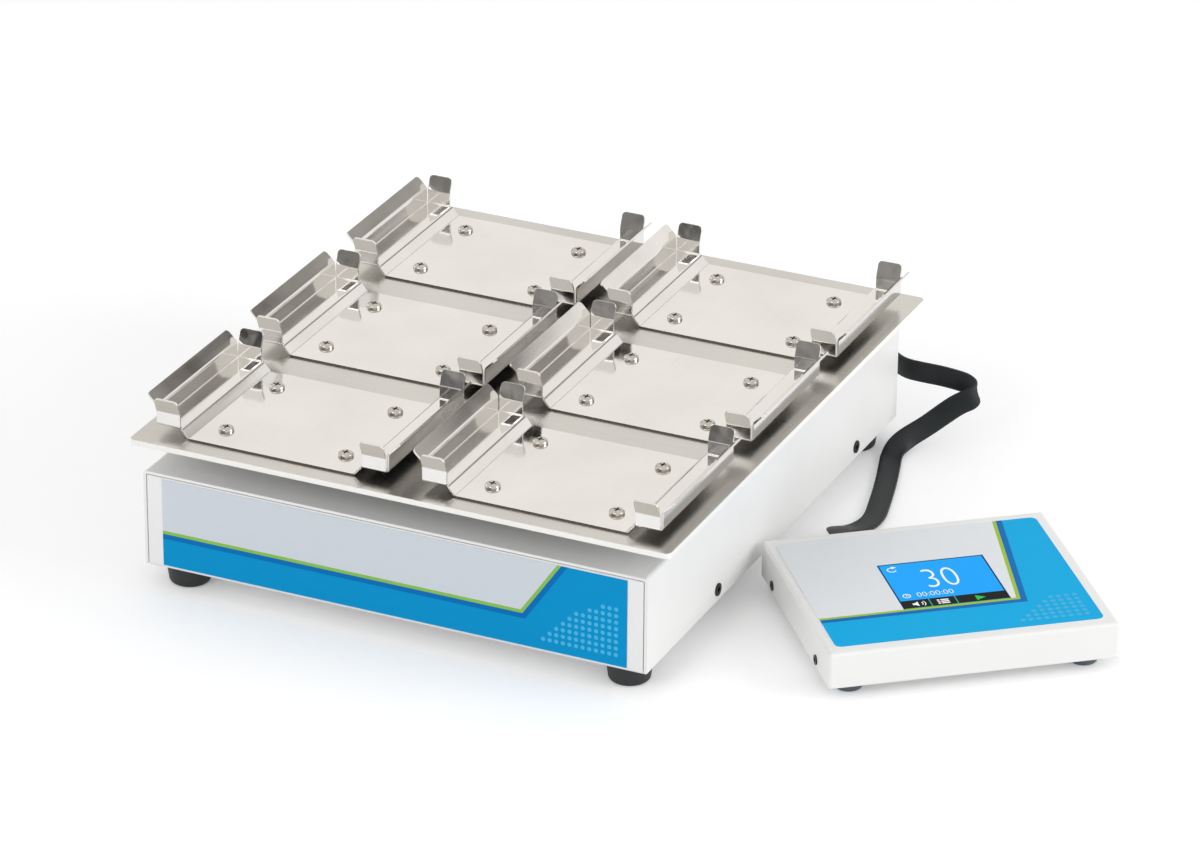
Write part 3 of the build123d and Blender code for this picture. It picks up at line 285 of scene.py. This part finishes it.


# the colour given for the lowest upright edges is painted light: a lighter painted highlight on the
# brushed plate, a dark painted shade line on the polished holders
brushedSheet = {"light": "#E0DEDA", "dark": "#CDCBC7", "grainStretch": (0.02, 1, 1), "grainMm": 0.9,
                "cloudMm": 90, "rough": (0.22, 0.34), "waveStretch": (1, 1, 1), "waveMm": 120,
                "waveStrength": 0.2, "grainStrength": 0.35, "streak": 0.12, "edgeRadius": 0.5,
                "paintedEdgeShading": "#F2F1EE", "paintedEdgeBelow": 87.4}
polishedSheet = {"light": "#F2F1EF", "dark": "#E2E0DD", "grainStretch": (1, 0.05, 1), "grainMm": 1.4,
                 "cloudMm": 45, "rough": (0.05, 0.13), "waveStretch": (1, 0.05, 1), "waveMm": 9,
                 "waveStrength": 0.3, "grainStrength": 0.06, "streak": 0.05, "edgeRadius": 0.3,
                 "paintedEdgeShading": "#6B6761", "paintedEdgeBelow": 88.45}


def turnedMetal(name, colour, rough, grainMm, stretch, recessShade=0.3):
    # turned, ground or cast metal: tool marks along the piece, and painted shade that darkens its
    # recesses
    m = startMaterial(name)
    coords = addNode(m, "ShaderNodeTexCoord").outputs["Object"]
    scaled = addNode(m, "ShaderNodeMapping", {"Scale": stretch}, {"Vector": coords})
    marks = addNode(m, "ShaderNodeTexNoise", {"Scale": perMm(grainMm), "Detail": 2.0},
                    {"Vector": scaled.outputs[0]})
    tone = addNode(m, "ShaderNodeMix", {"data_type": "RGBA", "blend_type": "MULTIPLY", 0: 0.25,
                                        6: linear(colour)}, {7: marks.outputs["Fac"]})
    # painted shade: ambient occlusion darkens the base colour in recesses and corners
    corner = addNode(m, "ShaderNodeAmbientOcclusion", {"samples": 6, "Distance": 1.5 * mm})
    depth = addNode(m, "ShaderNodeMapRange", {"To Min": 1 - recessShade, "To Max": 1.0},
                    {"Value": corner.outputs["AO"]})
    shaded = addNode(m, "ShaderNodeMix", {"data_type": "RGBA", "blend_type": "MULTIPLY", 0: 1.0},
                     {6: tone.outputs[2], 7: depth.outputs[0]})
    spread = addNode(m, "ShaderNodeMapRange", {"To Min": rough * 0.8, "To Max": rough * 1.25},
                     {"Value": marks.outputs["Fac"]})
    bump = addNode(m, "ShaderNodeBump", {"Strength": 0.2, "Distance": 0.03 * mm},
                   {"Height": marks.outputs["Fac"]})
    shader = addNode(m, "ShaderNodeBsdfPrincipled", {"Metallic": 1.0},
                     {"Base Color": shaded.outputs[2], "Roughness": spread.outputs[0],
                      "Normal": bump.outputs[0]})
    return endMaterial(m, shader)


def mouldedPlastic(name, colour, rough, grainMm, depth=0.03, ior=1.5):
    # moulded rubber or plastic: one colour through, with the fine grain of its mould
    m = startMaterial(name)
    coords = addNode(m, "ShaderNodeTexCoord").outputs["Object"]
    grain = addNode(m, "ShaderNodeTexNoise", {"Scale": perMm(grainMm), "Detail": 2.0},
                    {"Vector": coords})
    dust = addNode(m, "ShaderNodeTexNoise", {"Scale": perMm(14), "Detail": 3.0}, {"Vector": coords})
    tone = addNode(m, "ShaderNodeMix", {"data_type": "RGBA", "blend_type": "SCREEN", 0: 0.012,
                                        6: linear(colour)}, {7: dust.outputs["Fac"]})
    spread = addNode(m, "ShaderNodeMapRange", {"To Min": rough * 0.85, "To Max": rough * 1.15},
                     {"Value": dust.outputs["Fac"]})
    bump = addNode(m, "ShaderNodeBump", {"Strength": 0.3, "Distance": depth * mm},
                   {"Height": grain.outputs["Fac"]})
    shader = addNode(m, "ShaderNodeBsdfPrincipled", {"IOR": ior},
                     {"Base Color": tone.outputs[2], "Roughness": spread.outputs[0],
                      "Normal": bump.outputs[0]})
    return endMaterial(m, shader)


def printedFilm(name, colour):
    # screen-printed polyester film with a velvet face: even ink, hardly any gloss
    m = startMaterial(name)
    coords = addNode(m, "ShaderNodeTexCoord").outputs["Object"]
    ink = addNode(m, "ShaderNodeTexNoise", {"Scale": perMm(9), "Detail": 4.0}, {"Vector": coords})
    tone = addNode(m, "ShaderNodeMix", {"data_type": "RGBA", "blend_type": "MULTIPLY", 0: 0.04,
                                        6: linear(colour)}, {7: ink.outputs["Fac"]})
    grain = addNode(m, "ShaderNodeTexNoise", {"Scale": perMm(0.8)}, {"Vector": coords})
    bump = addNode(m, "ShaderNodeBump", {"Strength": 0.1, "Distance": 0.01 * mm},
                   {"Height": grain.outputs["Fac"]})
    shader = addNode(m, "ShaderNodeBsdfPrincipled",
                     {"Roughness": 0.5, "IOR": 1.45, "Specular IOR Level": 0.1},
                     {"Base Color": tone.outputs[2], "Normal": bump.outputs[0]})
    return endMaterial(m, shader)


def litGlass(name, colour, light):
    # touch screen glass, float glass over a lit panel: its own light, a little uneven, under a thin gloss
    m = startMaterial(name)
    coords = addNode(m, "ShaderNodeTexCoord").outputs["Object"]
    backlight = addNode(m, "ShaderNodeTexNoise", {"Scale": perMm(45), "Detail": 1.0}, {"Vector": coords})
    tone = addNode(m, "ShaderNodeMix", {"data_type": "RGBA", "blend_type": "MULTIPLY", 0: 0.06,
                                        6: linear(colour)}, {7: backlight.outputs["Fac"]})
    shader = addNode(m, "ShaderNodeBsdfPrincipled",
                     {"Base Color": linear("#030304"), "Roughness": 0.12, "IOR": 1.5,
                      "Specular IOR Level": 0.05, "Emission Strength": light},
                     {"Emission Color": tone.outputs[2]})
    return endMaterial(m, shader)


def circuitBoard():
    # glass-fibre board under green solder mask, with copper tracks showing as a paler net
    m = startMaterial("fibreBoardSolderMask")
    coords = addNode(m, "ShaderNodeTexCoord").outputs["Object"]
    tracks = addNode(m, "ShaderNodeTexBrick",
                     {"Scale": perMm(30), "Mortar Size": 0.03, "Color1": linear("#0E5A36"),
                      "Color2": linear("#0C4F30"), "Mortar": linear("#2C7A4C")}, {"Vector": coords})
    shader = addNode(m, "ShaderNodeBsdfPrincipled", {"Roughness": 0.35},
                     {"Base Color": tracks.outputs["Color"]})
    return endMaterial(m, shader)


white = powderCoat()
platformSteel = sheetSteel("stainlessSheetBrushed", brushedSheet)
holderSteel = sheetSteel("stainlessSheetPolished", polishedSheet)
# 0.85 gives the screws strong painted shade in their recesses
screwSteel = turnedMetal("stainlessScrewTurned", "#CFCBC5", 0.14, 2.0, (1, 1, 1), 0.85)
groundSteel = turnedMetal("bearingSteelGround", "#C4C3C0", 0.22, 0.9, (1, 1, 0.1))
turnedSteel = turnedMetal("carbonSteelTurned", "#B9B7B2", 0.28, 0.9, (0.1, 0.1, 1))
blackSteel = turnedMetal("steelBlackened", "#3A3A3A", 0.42, 2.0, (1, 1, 1))
machinedAluminium = turnedMetal("aluminiumMachined", "#D2D3D4", 0.32, 1.2, (0.08, 1, 1))
anodisedAluminium = turnedMetal("aluminiumAnodised", "#C9CACC", 0.38, 0.9, (1, 1, 0.1))
castAluminium = turnedMetal("aluminiumDieCast", "#8E9092", 0.5, 2.5, (1, 1, 1))
brassTurned = turnedMetal("brassTurned", "#C9A24E", 0.3, 0.9, (0.1, 0.1, 1))
blackRubber = mouldedPlastic("nitrileRubberMoulded", "#191C1E", 0.55, 1.2)
slateRubber = mouldedPlastic("thermoplasticRubberMoulded", "#4F5C64", 0.5, 1.2)
beltRubber = mouldedPlastic("chloropreneBeltMoulded", "#1B1B1B", 0.7, 1.0)
cableJacket = mouldedPlastic("pvcCableJacketExtruded", "#10171C", 0.42, 1.6, ior=1.38)
glandPlastic = mouldedPlastic("nylonGlandMoulded", "#16181A", 0.45, 1.2)
blackPlastic = mouldedPlastic("absMouldedBlack", "#141516", 0.4, 1.0)
labelGround = printedFilm("polyesterFilmPaleGrey", "#D2D9E0")
overlayGround = printedFilm("polyesterOverlayPaleGrey", "#E7EBEE")
labelBlue = printedFilm("polyesterFilmBlue", "#0093CE")
overlayBlue = printedFilm("polyesterOverlayBlue", "#00AEE8")
deepBlue = printedFilm("polyesterFilmDeepBlue", "#0070B8")
leafGreen = printedFilm("polyesterFilmGreen", "#8CC152")
limeGreen = printedFilm("polyesterOverlayGreen", "#A6C639")
wellBlue = printedFilm("polyesterFilmWellBlue", "#4DB5E2")
markWhite = printedFilm("padPrintedWhite", "#E8E8E8")
screenBlue = litGlass("touchScreenLitBlue", "#00A6FF", 1.0)
screenWhite = litGlass("touchScreenLitWhite", "#FFFFFF", 0.95)
screenBlack = litGlass("touchScreenDark", "#050607", 0.5)
screenTeal = litGlass("touchScreenTeal", "#16B39C", 0.9)
screenGreen = litGlass("touchScreenGreen", "#22C64A", 0.95)
board = circuitBoard()
print("materials made")

finishes = {
    "base_pan": white, "housing_cover": white, "remote_cover": white, "remote_base": white,
    "front_label": labelGround, "remote_overlay": overlayGround, "platform_plate": platformSteel,
    "platform_studs": screwSteel, "holder_screws": screwSteel, "deck_screws": screwSteel,
    "bearing_screws": screwSteel, "carrier_ring_screws": screwSteel, "platform_nuts": screwSteel,
    "motor_screws": screwSteel, "counterweight_screws": screwSteel, "foot_screws": screwSteel,
    "cover_screws": blackSteel, "remote_screws": blackSteel, "base_feet": blackRubber,
    "remote_feet": slateRubber, "bearing_deck": machinedAluminium, "deck_posts": machinedAluminium,
    "drive_bearing_housing": machinedAluminium, "idler_bearing_housings": machinedAluminium,
    "carrier_bearing_rings": machinedAluminium, "platform_carrier": machinedAluminium,
    "drive_bearings": groundSteel, "idler_bearings": groundSteel, "carrier_bearings": groundSteel,
    "drive_crank": turnedSteel, "motor_shaft": groundSteel, "motor_magnet_rotor": turnedSteel,
    "counterweight": blackSteel, "drive_pulley": anodisedAluminium,
    "motor_pulley": anodisedAluminium, "timing_belt": beltRubber, "motor_body": castAluminium,
    "driver_board": board, "remote_board": board, "board_posts": brassTurned,
    "remote_board_posts": brassTurned, "base_cable_gland": glandPlastic,
    "remote_cable_gland": glandPlastic, "display_glass": screenBlue,
    "display_module": blackPlastic, "sounder": blackPlastic, "switch_body": blackPlastic,
    "power_rocker": blackPlastic, "power_jack": blackPlastic, "flat_cable": cableJacket,
}
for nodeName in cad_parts:
    if nodeName.startswith("holder_") and nodeName != "holder_screws":
        dress(nodeName, holderSteel)
    elif nodeName.startswith("idler_crank_"):
        dress(nodeName, turnedSteel)
    else:
        dress(nodeName, finishes[nodeName])
print("CAD nodes dressed")

cableMesh, cableLine = ribbonMesh(flatCable)
cablePiece = addPiece("flatCableRibbon", cableMesh, cableJacket, "root")
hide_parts("flat_cable")
print("flat cable laid")


# Printed shapes lie on the label, overlay, screen and rocker as thin inlays, with these heights in
# millimetres above the film
ink = {"field": 0.04, "stripe": 0.05, "wells": 0.07}


def slabs(name, place, outlines, low, high, material, body="root"):
    # place turns (across, up, out) in millimetres into a point of the frame
    build = bmesh.new()
    for outline in outlines:
        bottom = [build.verts.new(place(u, v, low)) for u, v in outline]
        top = [build.verts.new(place(u, v, high)) for u, v in outline]
        build.faces.new(top)
        build.faces.new(list(reversed(bottom)))
        for i in range(len(outline)):
            j = (i + 1) % len(outline)
            build.faces.new((bottom[i], bottom[j], top[j], top[i]))
    bmesh.ops.recalc_face_normals(build, faces=build.faces)
    mesh = bpy.data.meshes.new(name)
    build.to_mesh(mesh)
    return addPiece(name, mesh, material, body)


def inlay(name, place, outline, low, high, material, body="root"):
    return slabs(name, place, [outline], low, high, material, body)


def dots(name, place, centres, radius, low, high, material, sides=20):
    turns = [2 * math.pi * i / sides for i in range(sides)]
    rings = [[(u + radius * math.cos(a), v + radius * math.sin(a)) for a in turns]
             for u, v in centres]
    return slabs(name, place, rings, low, high, material)


def rectangle(u0, v0, u1, v1):
    return [(u0, v0), (u1, v0), (u1, v1), (u0, v1)]


def steps(left, bend, top, height, thick, out):
    # a level stripe that turns up along a slant, out from the line by a set distance
    (x0, y0), (x1, y1), (x2, y2) = left, bend, (top, height)
    slant = math.hypot(x2 - x1, y2 - y1)
    perUp = slant / (y2 - y1)
    lean = (x2 - x1) / (y2 - y1)

    def edge(d):
        corner = (x1 + lean * d - perUp * d, y1 + d)
        return [(x0, y0 + d), corner, (x2 - perUp * d, y2)]
    return edge(out) + list(reversed(edge(out + thick)))


labelLow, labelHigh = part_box("front_label")
frontY = labelLow[1]
label = {"band": 15.0, "bendX": 74.0, "topX": 97.0, "deepStripe": 2.8, "greenStripe": 1.8,
         "wellPitch": 3.6, "wellRadius": 1.15, "wellMargin": 6.0, "wells": (12, 8),
         "wellSlope": 0.55, "wellReach": 8.5}


def onLabel(u, v, out):
    return Vector((u * mm, frontY - out * mm, labelLow[2] + v * mm))


labelHalf = labelHigh[0] / mm
labelTall = (labelHigh[2] - labelLow[2]) / mm
band, bendX, topX = label["band"], label["bendX"], label["topX"]
inlay("labelBlueField", onLabel,
      [(-labelHalf, 0), (labelHalf, 0), (labelHalf, labelTall), (topX, labelTall), (bendX, band),
       (-labelHalf, band)], 0.0, ink["field"], labelBlue)
inlay("labelDeepStripe", onLabel,
      steps((-labelHalf, band), (bendX, band), topX, labelTall, label["deepStripe"], 0),
      0.0, ink["stripe"], deepBlue)
inlay("labelGreenStripe", onLabel,
      steps((-labelHalf, band), (bendX, band), topX, labelTall, label["greenStripe"],
            label["deepStripe"]), 0.0, ink["stripe"], leafGreen)
columns, rows = label["wells"]
pitch, margin = label["wellPitch"], label["wellMargin"]
dots("labelWells", onLabel,
     [(labelHalf - margin - i * pitch, margin + j * pitch)
      for i in range(columns) for j in range(rows)
      if i * label["wellSlope"] + j < label["wellReach"] and i < columns - j],
     label["wellRadius"], 0.0, ink["wells"], wellBlue)
print("front label printed")

# The remote's own axes, read from the places of its overlay
remote = {"angle": 38.5, "corner": (222.5, -127.3), "overlay": (5.0, 144.0, 6.5, 121.5),
          "cornerRadius": 3.5, "window": (77.0, 62.0, 56.0, 50.0)}
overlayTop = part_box("remote_overlay")[1][2]
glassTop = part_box("display_glass")[1][2]


def remotePoint(u, v, z):
    a = math.radians(remote["angle"])
    return Vector(((remote["corner"][0] + u * math.cos(a) - v * math.sin(a)) * mm,
                   (remote["corner"][1] + u * math.sin(a) + v * math.cos(a)) * mm, z))


def onOverlay(u, v, out):
    return remotePoint(u, v, overlayTop + out * mm)


def onScreen(u, v, out):
    # measured from the lower left corner of the window
    cu, cv, w, d = remote["window"]
    return remotePoint(cu - w / 2 + u, cv - d / 2 + v, glassTop + out * mm)


def roundCorner(cx, cy, radius, start):
    return [(cx + radius * math.cos(math.radians(start + 15 * i)),
             cy + radius * math.sin(math.radians(start + 15 * i))) for i in range(7)]


left, right, front, rear = remote["overlay"]
bend = remote["cornerRadius"]
overlay = {"band": 26.0, "bendU": 112.0, "topU": 126.0, "deepStripe": 3.2, "greenStripe": 1.9,
           "wellPitch": 4.2, "wellRadius": 1.35, "wellMargin": 7.0, "wells": (9, 6)}
fieldTop = front + overlay["band"]
inlay("overlayBlueField", onOverlay,
      roundCorner(left + bend, front + bend, bend, 180)
      + roundCorner(right - bend, front + bend, bend, 270)
      + roundCorner(right - bend, rear - bend, bend, 0)
      + [(overlay["topU"], rear), (overlay["bendU"], fieldTop), (left, fieldTop)],
      0.0, ink["field"], overlayBlue)
inlay("overlayDeepStripe", onOverlay,
      steps((left, fieldTop), (overlay["bendU"], fieldTop), overlay["topU"], rear,
            overlay["deepStripe"], 0), 0.0, ink["stripe"], deepBlue)
inlay("overlayGreenStripe", onOverlay,
      steps((left, fieldTop), (overlay["bendU"], fieldTop), overlay["topU"], rear,
            overlay["greenStripe"], overlay["deepStripe"]),
      0.0, ink["stripe"], limeGreen)
columns, rows = overlay["wells"]
pitch, margin = overlay["wellPitch"], overlay["wellMargin"]
dots("overlayWells", onOverlay,
     [(right - margin - i * pitch, front + margin + j * pitch)
      for i in range(columns) for j in range(rows) if i < columns - j], overlay["wellRadius"],
     0.0, ink["wells"], wellBlue)
print("remote overlay printed")


def arcBand(cu, cv, radius, thick, start, end, parts=24):
    angles = [math.radians(start + (end - start) * i / parts) for i in range(parts + 1)]
    inner = [(cu + radius * math.cos(a), cv + radius * math.sin(a)) for a in angles]
    outer = [(cu + (radius + thick) * math.cos(a), cv + (radius + thick) * math.sin(a))
             for a in angles]
    return inner + list(reversed(outer))


# Screen picture, in millimetres from the lower left corner of the window: a border, a bar with three
# keys, icons and plain digits
screen = {
    "inset": 0.15, "border": 0.7, "barTop": 9.6, "barLine": 0.5, "dividers": (15.0, 28.5),
    "dividerWidth": 0.6, "borderHigh": 0.05, "barHigh": 0.03, "iconHigh": 0.06, "digitHigh": 0.04,
    "speaker": {"back": 6.0, "waist": 7.2, "front": 9.0, "halfBack": 0.9, "halfFront": 2.4},
    "sound": {"u": 9.4, "radii": (1.6, 3.0), "thick": 0.5, "halfAngle": 45},
    "list": {"dot": (19.0, 20.2), "line": (20.8, 25.0), "low": 2.3, "pitch": 1.75, "tall": 1.1},
    "play": {"back": 39.0, "tip": 44.0, "half": 2.6},
    "speed": {"words": "30", "u": 28.0, "v": 29.6, "height": 21.0, "stretch": 0.68, "thin": 0.55},
    "timer": {"words": "00:00:00", "u": 20.5, "v": 14.6, "height": 4.8, "stretch": 0.85, "thin": 0.1},
    "turn": {"u": 6.2, "v": 43.6, "radius": 1.9, "thick": 0.55, "arc": (60, 340),
             "head": ((0.4, 0.9), (0.4, 3.6), (2.9, 2.3))},
    "clock": {"u": 5.6, "v": 14.6, "radius": 1.7, "thick": 0.45, "arc": (0, 358),
              "hand": 0.2, "hour": 1.2, "minute": 1.4},
}


def draw(name, outline, material, high=screen["iconHigh"]):
    return inlay(name, onScreen, outline, 0.0, high, material)


def iconArc(s):
    return arcBand(s["u"], s["v"], s["radius"], s["thick"], *s["arc"])


def digits(name, s, material):
    # plain numbers in Blender's own font, laid on the screen
    curve = bpy.data.curves.new(name, "FONT")
    curve.body = s["words"]
    curve.align_x = "CENTER"
    curve.align_y = "CENTER"
    curve.size = s["height"] * mm / 0.72  # a digit is 0.72 of the font's size
    curve.extrude = 0.015 * mm
    curve.offset = -s["thin"] * mm  # slimmer strokes
    curve.resolution_u = 6
    holder = bpy.data.objects.new(name + "Line", curve)
    scene.collection.objects.link(holder)
    mesh = bpy.data.meshes.new_from_object(holder)
    bpy.data.objects.remove(holder)
    turn = Matrix.Rotation(math.radians(remote["angle"]), 4, "Z")
    mesh.transform(Matrix.Translation(onScreen(s["u"], s["v"], screen["digitHigh"])) @ turn
                   @ Matrix.Diagonal((s["stretch"], 1, 1, 1)))
    return addPiece(name, mesh, material, "root")


low, border = screen["inset"], screen["border"]
screenRight = remote["window"][2] - screen["inset"]
screenRear = remote["window"][3] - screen["inset"]
borders = {
    "Front": (low, low, screenRight, low + border),
    "Rear": (low, screenRear - border, screenRight, screenRear),
    "Left": (low, low, low + border, screenRear),
    "Right": (screenRight - border, low, screenRight, screenRear),
}
for side, sizes in borders.items():
    draw("screenBorder" + side, rectangle(*sizes), screenBlack, screen["borderHigh"])
barLow, barTop = low + border, screen["barTop"]
barRight = screenRight - border
draw("screenBar", rectangle(barLow, barLow, barRight, barTop), screenBlack, screen["barHigh"])
draw("screenBarLine", rectangle(barLow, barLow, barRight, barLow + screen["barLine"]), screenTeal)
for number, u in enumerate(screen["dividers"]):
    draw(f"screenDivider{number}", rectangle(u, barLow, u + screen["dividerWidth"], barTop), screenTeal)
keyMiddle = (barLow + barTop) / 2
icon = screen["speaker"]
draw("screenSpeaker",
     [(icon["back"], keyMiddle - icon["halfBack"]), (icon["waist"], keyMiddle - icon["halfBack"]),
      (icon["front"], keyMiddle - icon["halfFront"]), (icon["front"], keyMiddle + icon["halfFront"]),
      (icon["waist"], keyMiddle + icon["halfBack"]), (icon["back"], keyMiddle + icon["halfBack"])],
     screenWhite)
icon = screen["sound"]
for number, radius in enumerate(icon["radii"]):
    draw(f"screenSound{number}", arcBand(icon["u"], keyMiddle, radius, icon["thick"],
                                         -icon["halfAngle"], icon["halfAngle"]), screenWhite)
icon = screen["list"]
for row in range(3):
    v = keyMiddle - icon["low"] + row * icon["pitch"]
    for kind in ("Dot", "Line"):
        u0, u1 = icon[kind.lower()]
        draw(f"screenList{kind}{row}", rectangle(u0, v, u1, v + icon["tall"]), screenWhite)
icon = screen["play"]
draw("screenPlay", [(icon["back"], keyMiddle - icon["half"]), (icon["tip"], keyMiddle),
                    (icon["back"], keyMiddle + icon["half"])], screenGreen)
digits("screenSpeed", screen["speed"], screenWhite)
digits("screenTimer", screen["timer"], screenWhite)
icon = screen["turn"]
draw("screenTurnArc", iconArc(icon), screenWhite)
draw("screenTurnHead", [(icon["u"] + u, icon["v"] + v) for u, v in icon["head"]], screenWhite)
icon = screen["clock"]
draw("screenClockRim", iconArc(icon), screenWhite)
hand, hour, minute = icon["hand"], icon["hour"], icon["minute"]
draw("screenClockHands",
     [(icon["u"] + u, icon["v"] + v) for u, v in (
         (-hand, -hand), (hour, -hand), (hour, hand), (hand, hand), (hand, minute), (-hand, minute))],
     screenWhite)
print("screen drawn")

# Line and ring on the two halves of the power rocker, each on its own tilted face
rockerMarks = {
    "Line": {"place": (218.63, 33.52, 16.5), "facing": (-0.655, 0.756, 0),
             "outline": [(-0.25, -1.3), (0.25, -1.3), (0.25, 1.3), (-0.25, 1.3)]},
    "Ring": {"place": (222.09, 37.71, 16.5), "facing": (-0.867, 0.498, 0),
             "outline": arcBand(0, 0, 0.85, 0.4, 0, 358)},
}
for markName, mark in rockerMarks.items():
    out = Vector(mark["facing"]).normalized()
    across = Vector((0, 0, 1)).cross(out)
    middle = Vector(mark["place"]) * mm

    def onRocker(u, v, rise, middle=middle, across=across, out=out):
        return middle + across * u * mm + Vector((0, 0, v * mm)) + out * rise * mm
    inlay("rocker" + markName, onRocker, mark["outline"], -0.05, 0.05, markWhite,
          "power_rocker")
print("rocker marked")

# Studio: pale floor, white surroundings, a broad light in front, one at the right, and screens
# like the walls of a room, which only the metal sees
studio = {
    "floorSize": 12.0, "floorColour": "#F7F7F7", "floorLift": 0.2, "around": 0.72, "glossSky": "#FDFAF5",
    "key": {"place": (-0.9, -2.8, 1.6), "size": 2.0, "power": 25.0},
    "fill": {"place": (2.6, 0.3, 1.0), "size": 1.6, "power": 28.0},
    "screens": [
        {"azimuth": 28, "low": 24, "high": 38, "spread": 34, "distance": 2.4,
         "light": "#CFCBC5", "dark": "#4D4844", "patchMm": 120},
        {"azimuth": -60, "low": 2, "high": 14, "spread": 56, "distance": 2.6,
         "light": "#B9B5AF", "dark": "#7A7671", "patchMm": 200},
        {"azimuth": 203, "low": 3, "high": 27, "spread": 60, "distance": 2.6,
         "light": "#A8A5A1", "dark": "#2C2A28", "patchMm": 110},
    ],
}


def addFloor(s):
    m = startMaterial("paperSweepMatt")
    coords = addNode(m, "ShaderNodeTexCoord").outputs["Object"]
    fibre = addNode(m, "ShaderNodeTexNoise", {"Scale": perMm(40), "Detail": 2.0}, {"Vector": coords})
    tone = addNode(m, "ShaderNodeMix", {"data_type": "RGBA", "blend_type": "MULTIPLY", 0: 0.01,
                                        6: linear(s["floorColour"])}, {7: fibre.outputs["Fac"]})
    shader = addNode(m, "ShaderNodeBsdfDiffuse", {}, {"Color": tone.outputs[2]})
    rays = addNode(m, "ShaderNodeLightPath")
    seen = addNode(m, "ShaderNodeMath", {"operation": "MAXIMUM"},
                   {0: rays.outputs["Is Camera Ray"], 1: rays.outputs["Is Glossy Ray"]})
    clear = addNode(m, "ShaderNodeMath", {"operation": "MAXIMUM"},
                    {0: seen.outputs[0], 1: rays.outputs["Is Transmission Ray"]})
    lift = addNode(m, "ShaderNodeMath", {"operation": "MULTIPLY", 1: s["floorLift"]},
                   {0: clear.outputs[0]})
    glow = addNode(m, "ShaderNodeEmission", {"Color": (1, 1, 1, 1)}, {"Strength": lift.outputs[0]})
    paper = addNode(m, "ShaderNodeAddShader", {}, {0: shader.outputs[0], 1: glow.outputs[0]})
    endMaterial(m, paper)
    half = s["floorSize"] / 2
    mesh = bpy.data.meshes.new("floor")
    mesh.from_pydata([(-half, -half, 0), (half, -half, 0), (half, half, 0), (-half, half, 0)],
                     [], [(0, 1, 2, 3)])
    mesh.materials.append(m)
    floor = bpy.data.objects.new("floor", mesh)
    scene.collection.objects.link(floor)


def addWorld(s):
    world = bpy.data.worlds.new("studioWhite")
    world.use_nodes = True
    world.node_tree.nodes.clear()
    rays = addNode(world, "ShaderNodeLightPath")
    seen = addNode(world, "ShaderNodeMath", {"operation": "MAXIMUM"},
                   {0: rays.outputs["Is Camera Ray"], 1: rays.outputs["Is Glossy Ray"]})
    clear = addNode(world, "ShaderNodeMath", {"operation": "MAXIMUM"},
                    {0: seen.outputs[0], 1: rays.outputs["Is Transmission Ray"]})
    strength = addNode(world, "ShaderNodeMapRange", {"To Min": s["around"], "To Max": 1.0},
                       {"Value": clear.outputs[0]})
    warmth = addNode(world, "ShaderNodeMix", {"data_type": "RGBA", 6: (1, 1, 1, 1),
                                              7: linear(s["glossSky"])},
                     {0: rays.outputs["Is Glossy Ray"]})
    sky = addNode(world, "ShaderNodeBackground", {},
                  {"Color": warmth.outputs[2], "Strength": strength.outputs[0]})
    addNode(world, "ShaderNodeOutputWorld", {}, {"Surface": sky.outputs[0]})
    scene.world = world


def addLamp(name, s):
    data = bpy.data.lights.new(name, "AREA")
    data.size = s["size"]
    data.energy = s["power"]
    lamp = bpy.data.objects.new(name, data)
    lamp.location = s["place"]
    lamp.rotation_euler = Vector(s["place"]).to_track_quat("Z", "Y").to_euler()
    scene.collection.objects.link(lamp)


def addScreen(name, s):
    # painted screen, light and dark in soft patches, that only reflections see
    m = startMaterial(name + "Paint")
    coords = addNode(m, "ShaderNodeTexCoord").outputs["Object"]
    patches = addNode(m, "ShaderNodeTexNoise", {"Scale": perMm(s["patchMm"]), "Detail": 2.0},
                      {"Vector": coords})
    spread = addNode(m, "ShaderNodeMapRange", {"From Min": 0.35, "From Max": 0.65},
                     {"Value": patches.outputs["Fac"]})
    tone = addNode(m, "ShaderNodeMix", {"data_type": "RGBA", 6: linear(s["dark"]),
                                        7: linear(s["light"])}, {0: spread.outputs[0]})
    endMaterial(m, addNode(m, "ShaderNodeEmission", {"Strength": 1.0}, {"Color": tone.outputs[2]}))
    corners = []
    for turn, rise in ((-1, "low"), (1, "low"), (1, "high"), (-1, "high")):
        a = math.radians(s["azimuth"] + turn * s["spread"] / 2)
        up = math.tan(math.radians(s[rise])) * s["distance"]
        corners.append((math.sin(a) * s["distance"], math.cos(a) * s["distance"], up))
    mesh = bpy.data.meshes.new(name)
    mesh.from_pydata(corners, [], [(0, 1, 2, 3)])
    mesh.materials.append(m)
    screenCard = bpy.data.objects.new(name, mesh)
    scene.collection.objects.link(screenCard)
    screenCard.visible_camera = False
    screenCard.visible_diffuse = False
    screenCard.visible_shadow = False
    screenCard.visible_transmission = False


addFloor(studio)
addWorld(studio)
addLamp("keyLight", studio["key"])
addLamp("fillLight", studio["fill"])
for number, wall in enumerate(studio["screens"]):
    addScreen(f"studioScreen{number}", wall)
scene.view_settings.view_transform = "Standard"
print("studio lit")
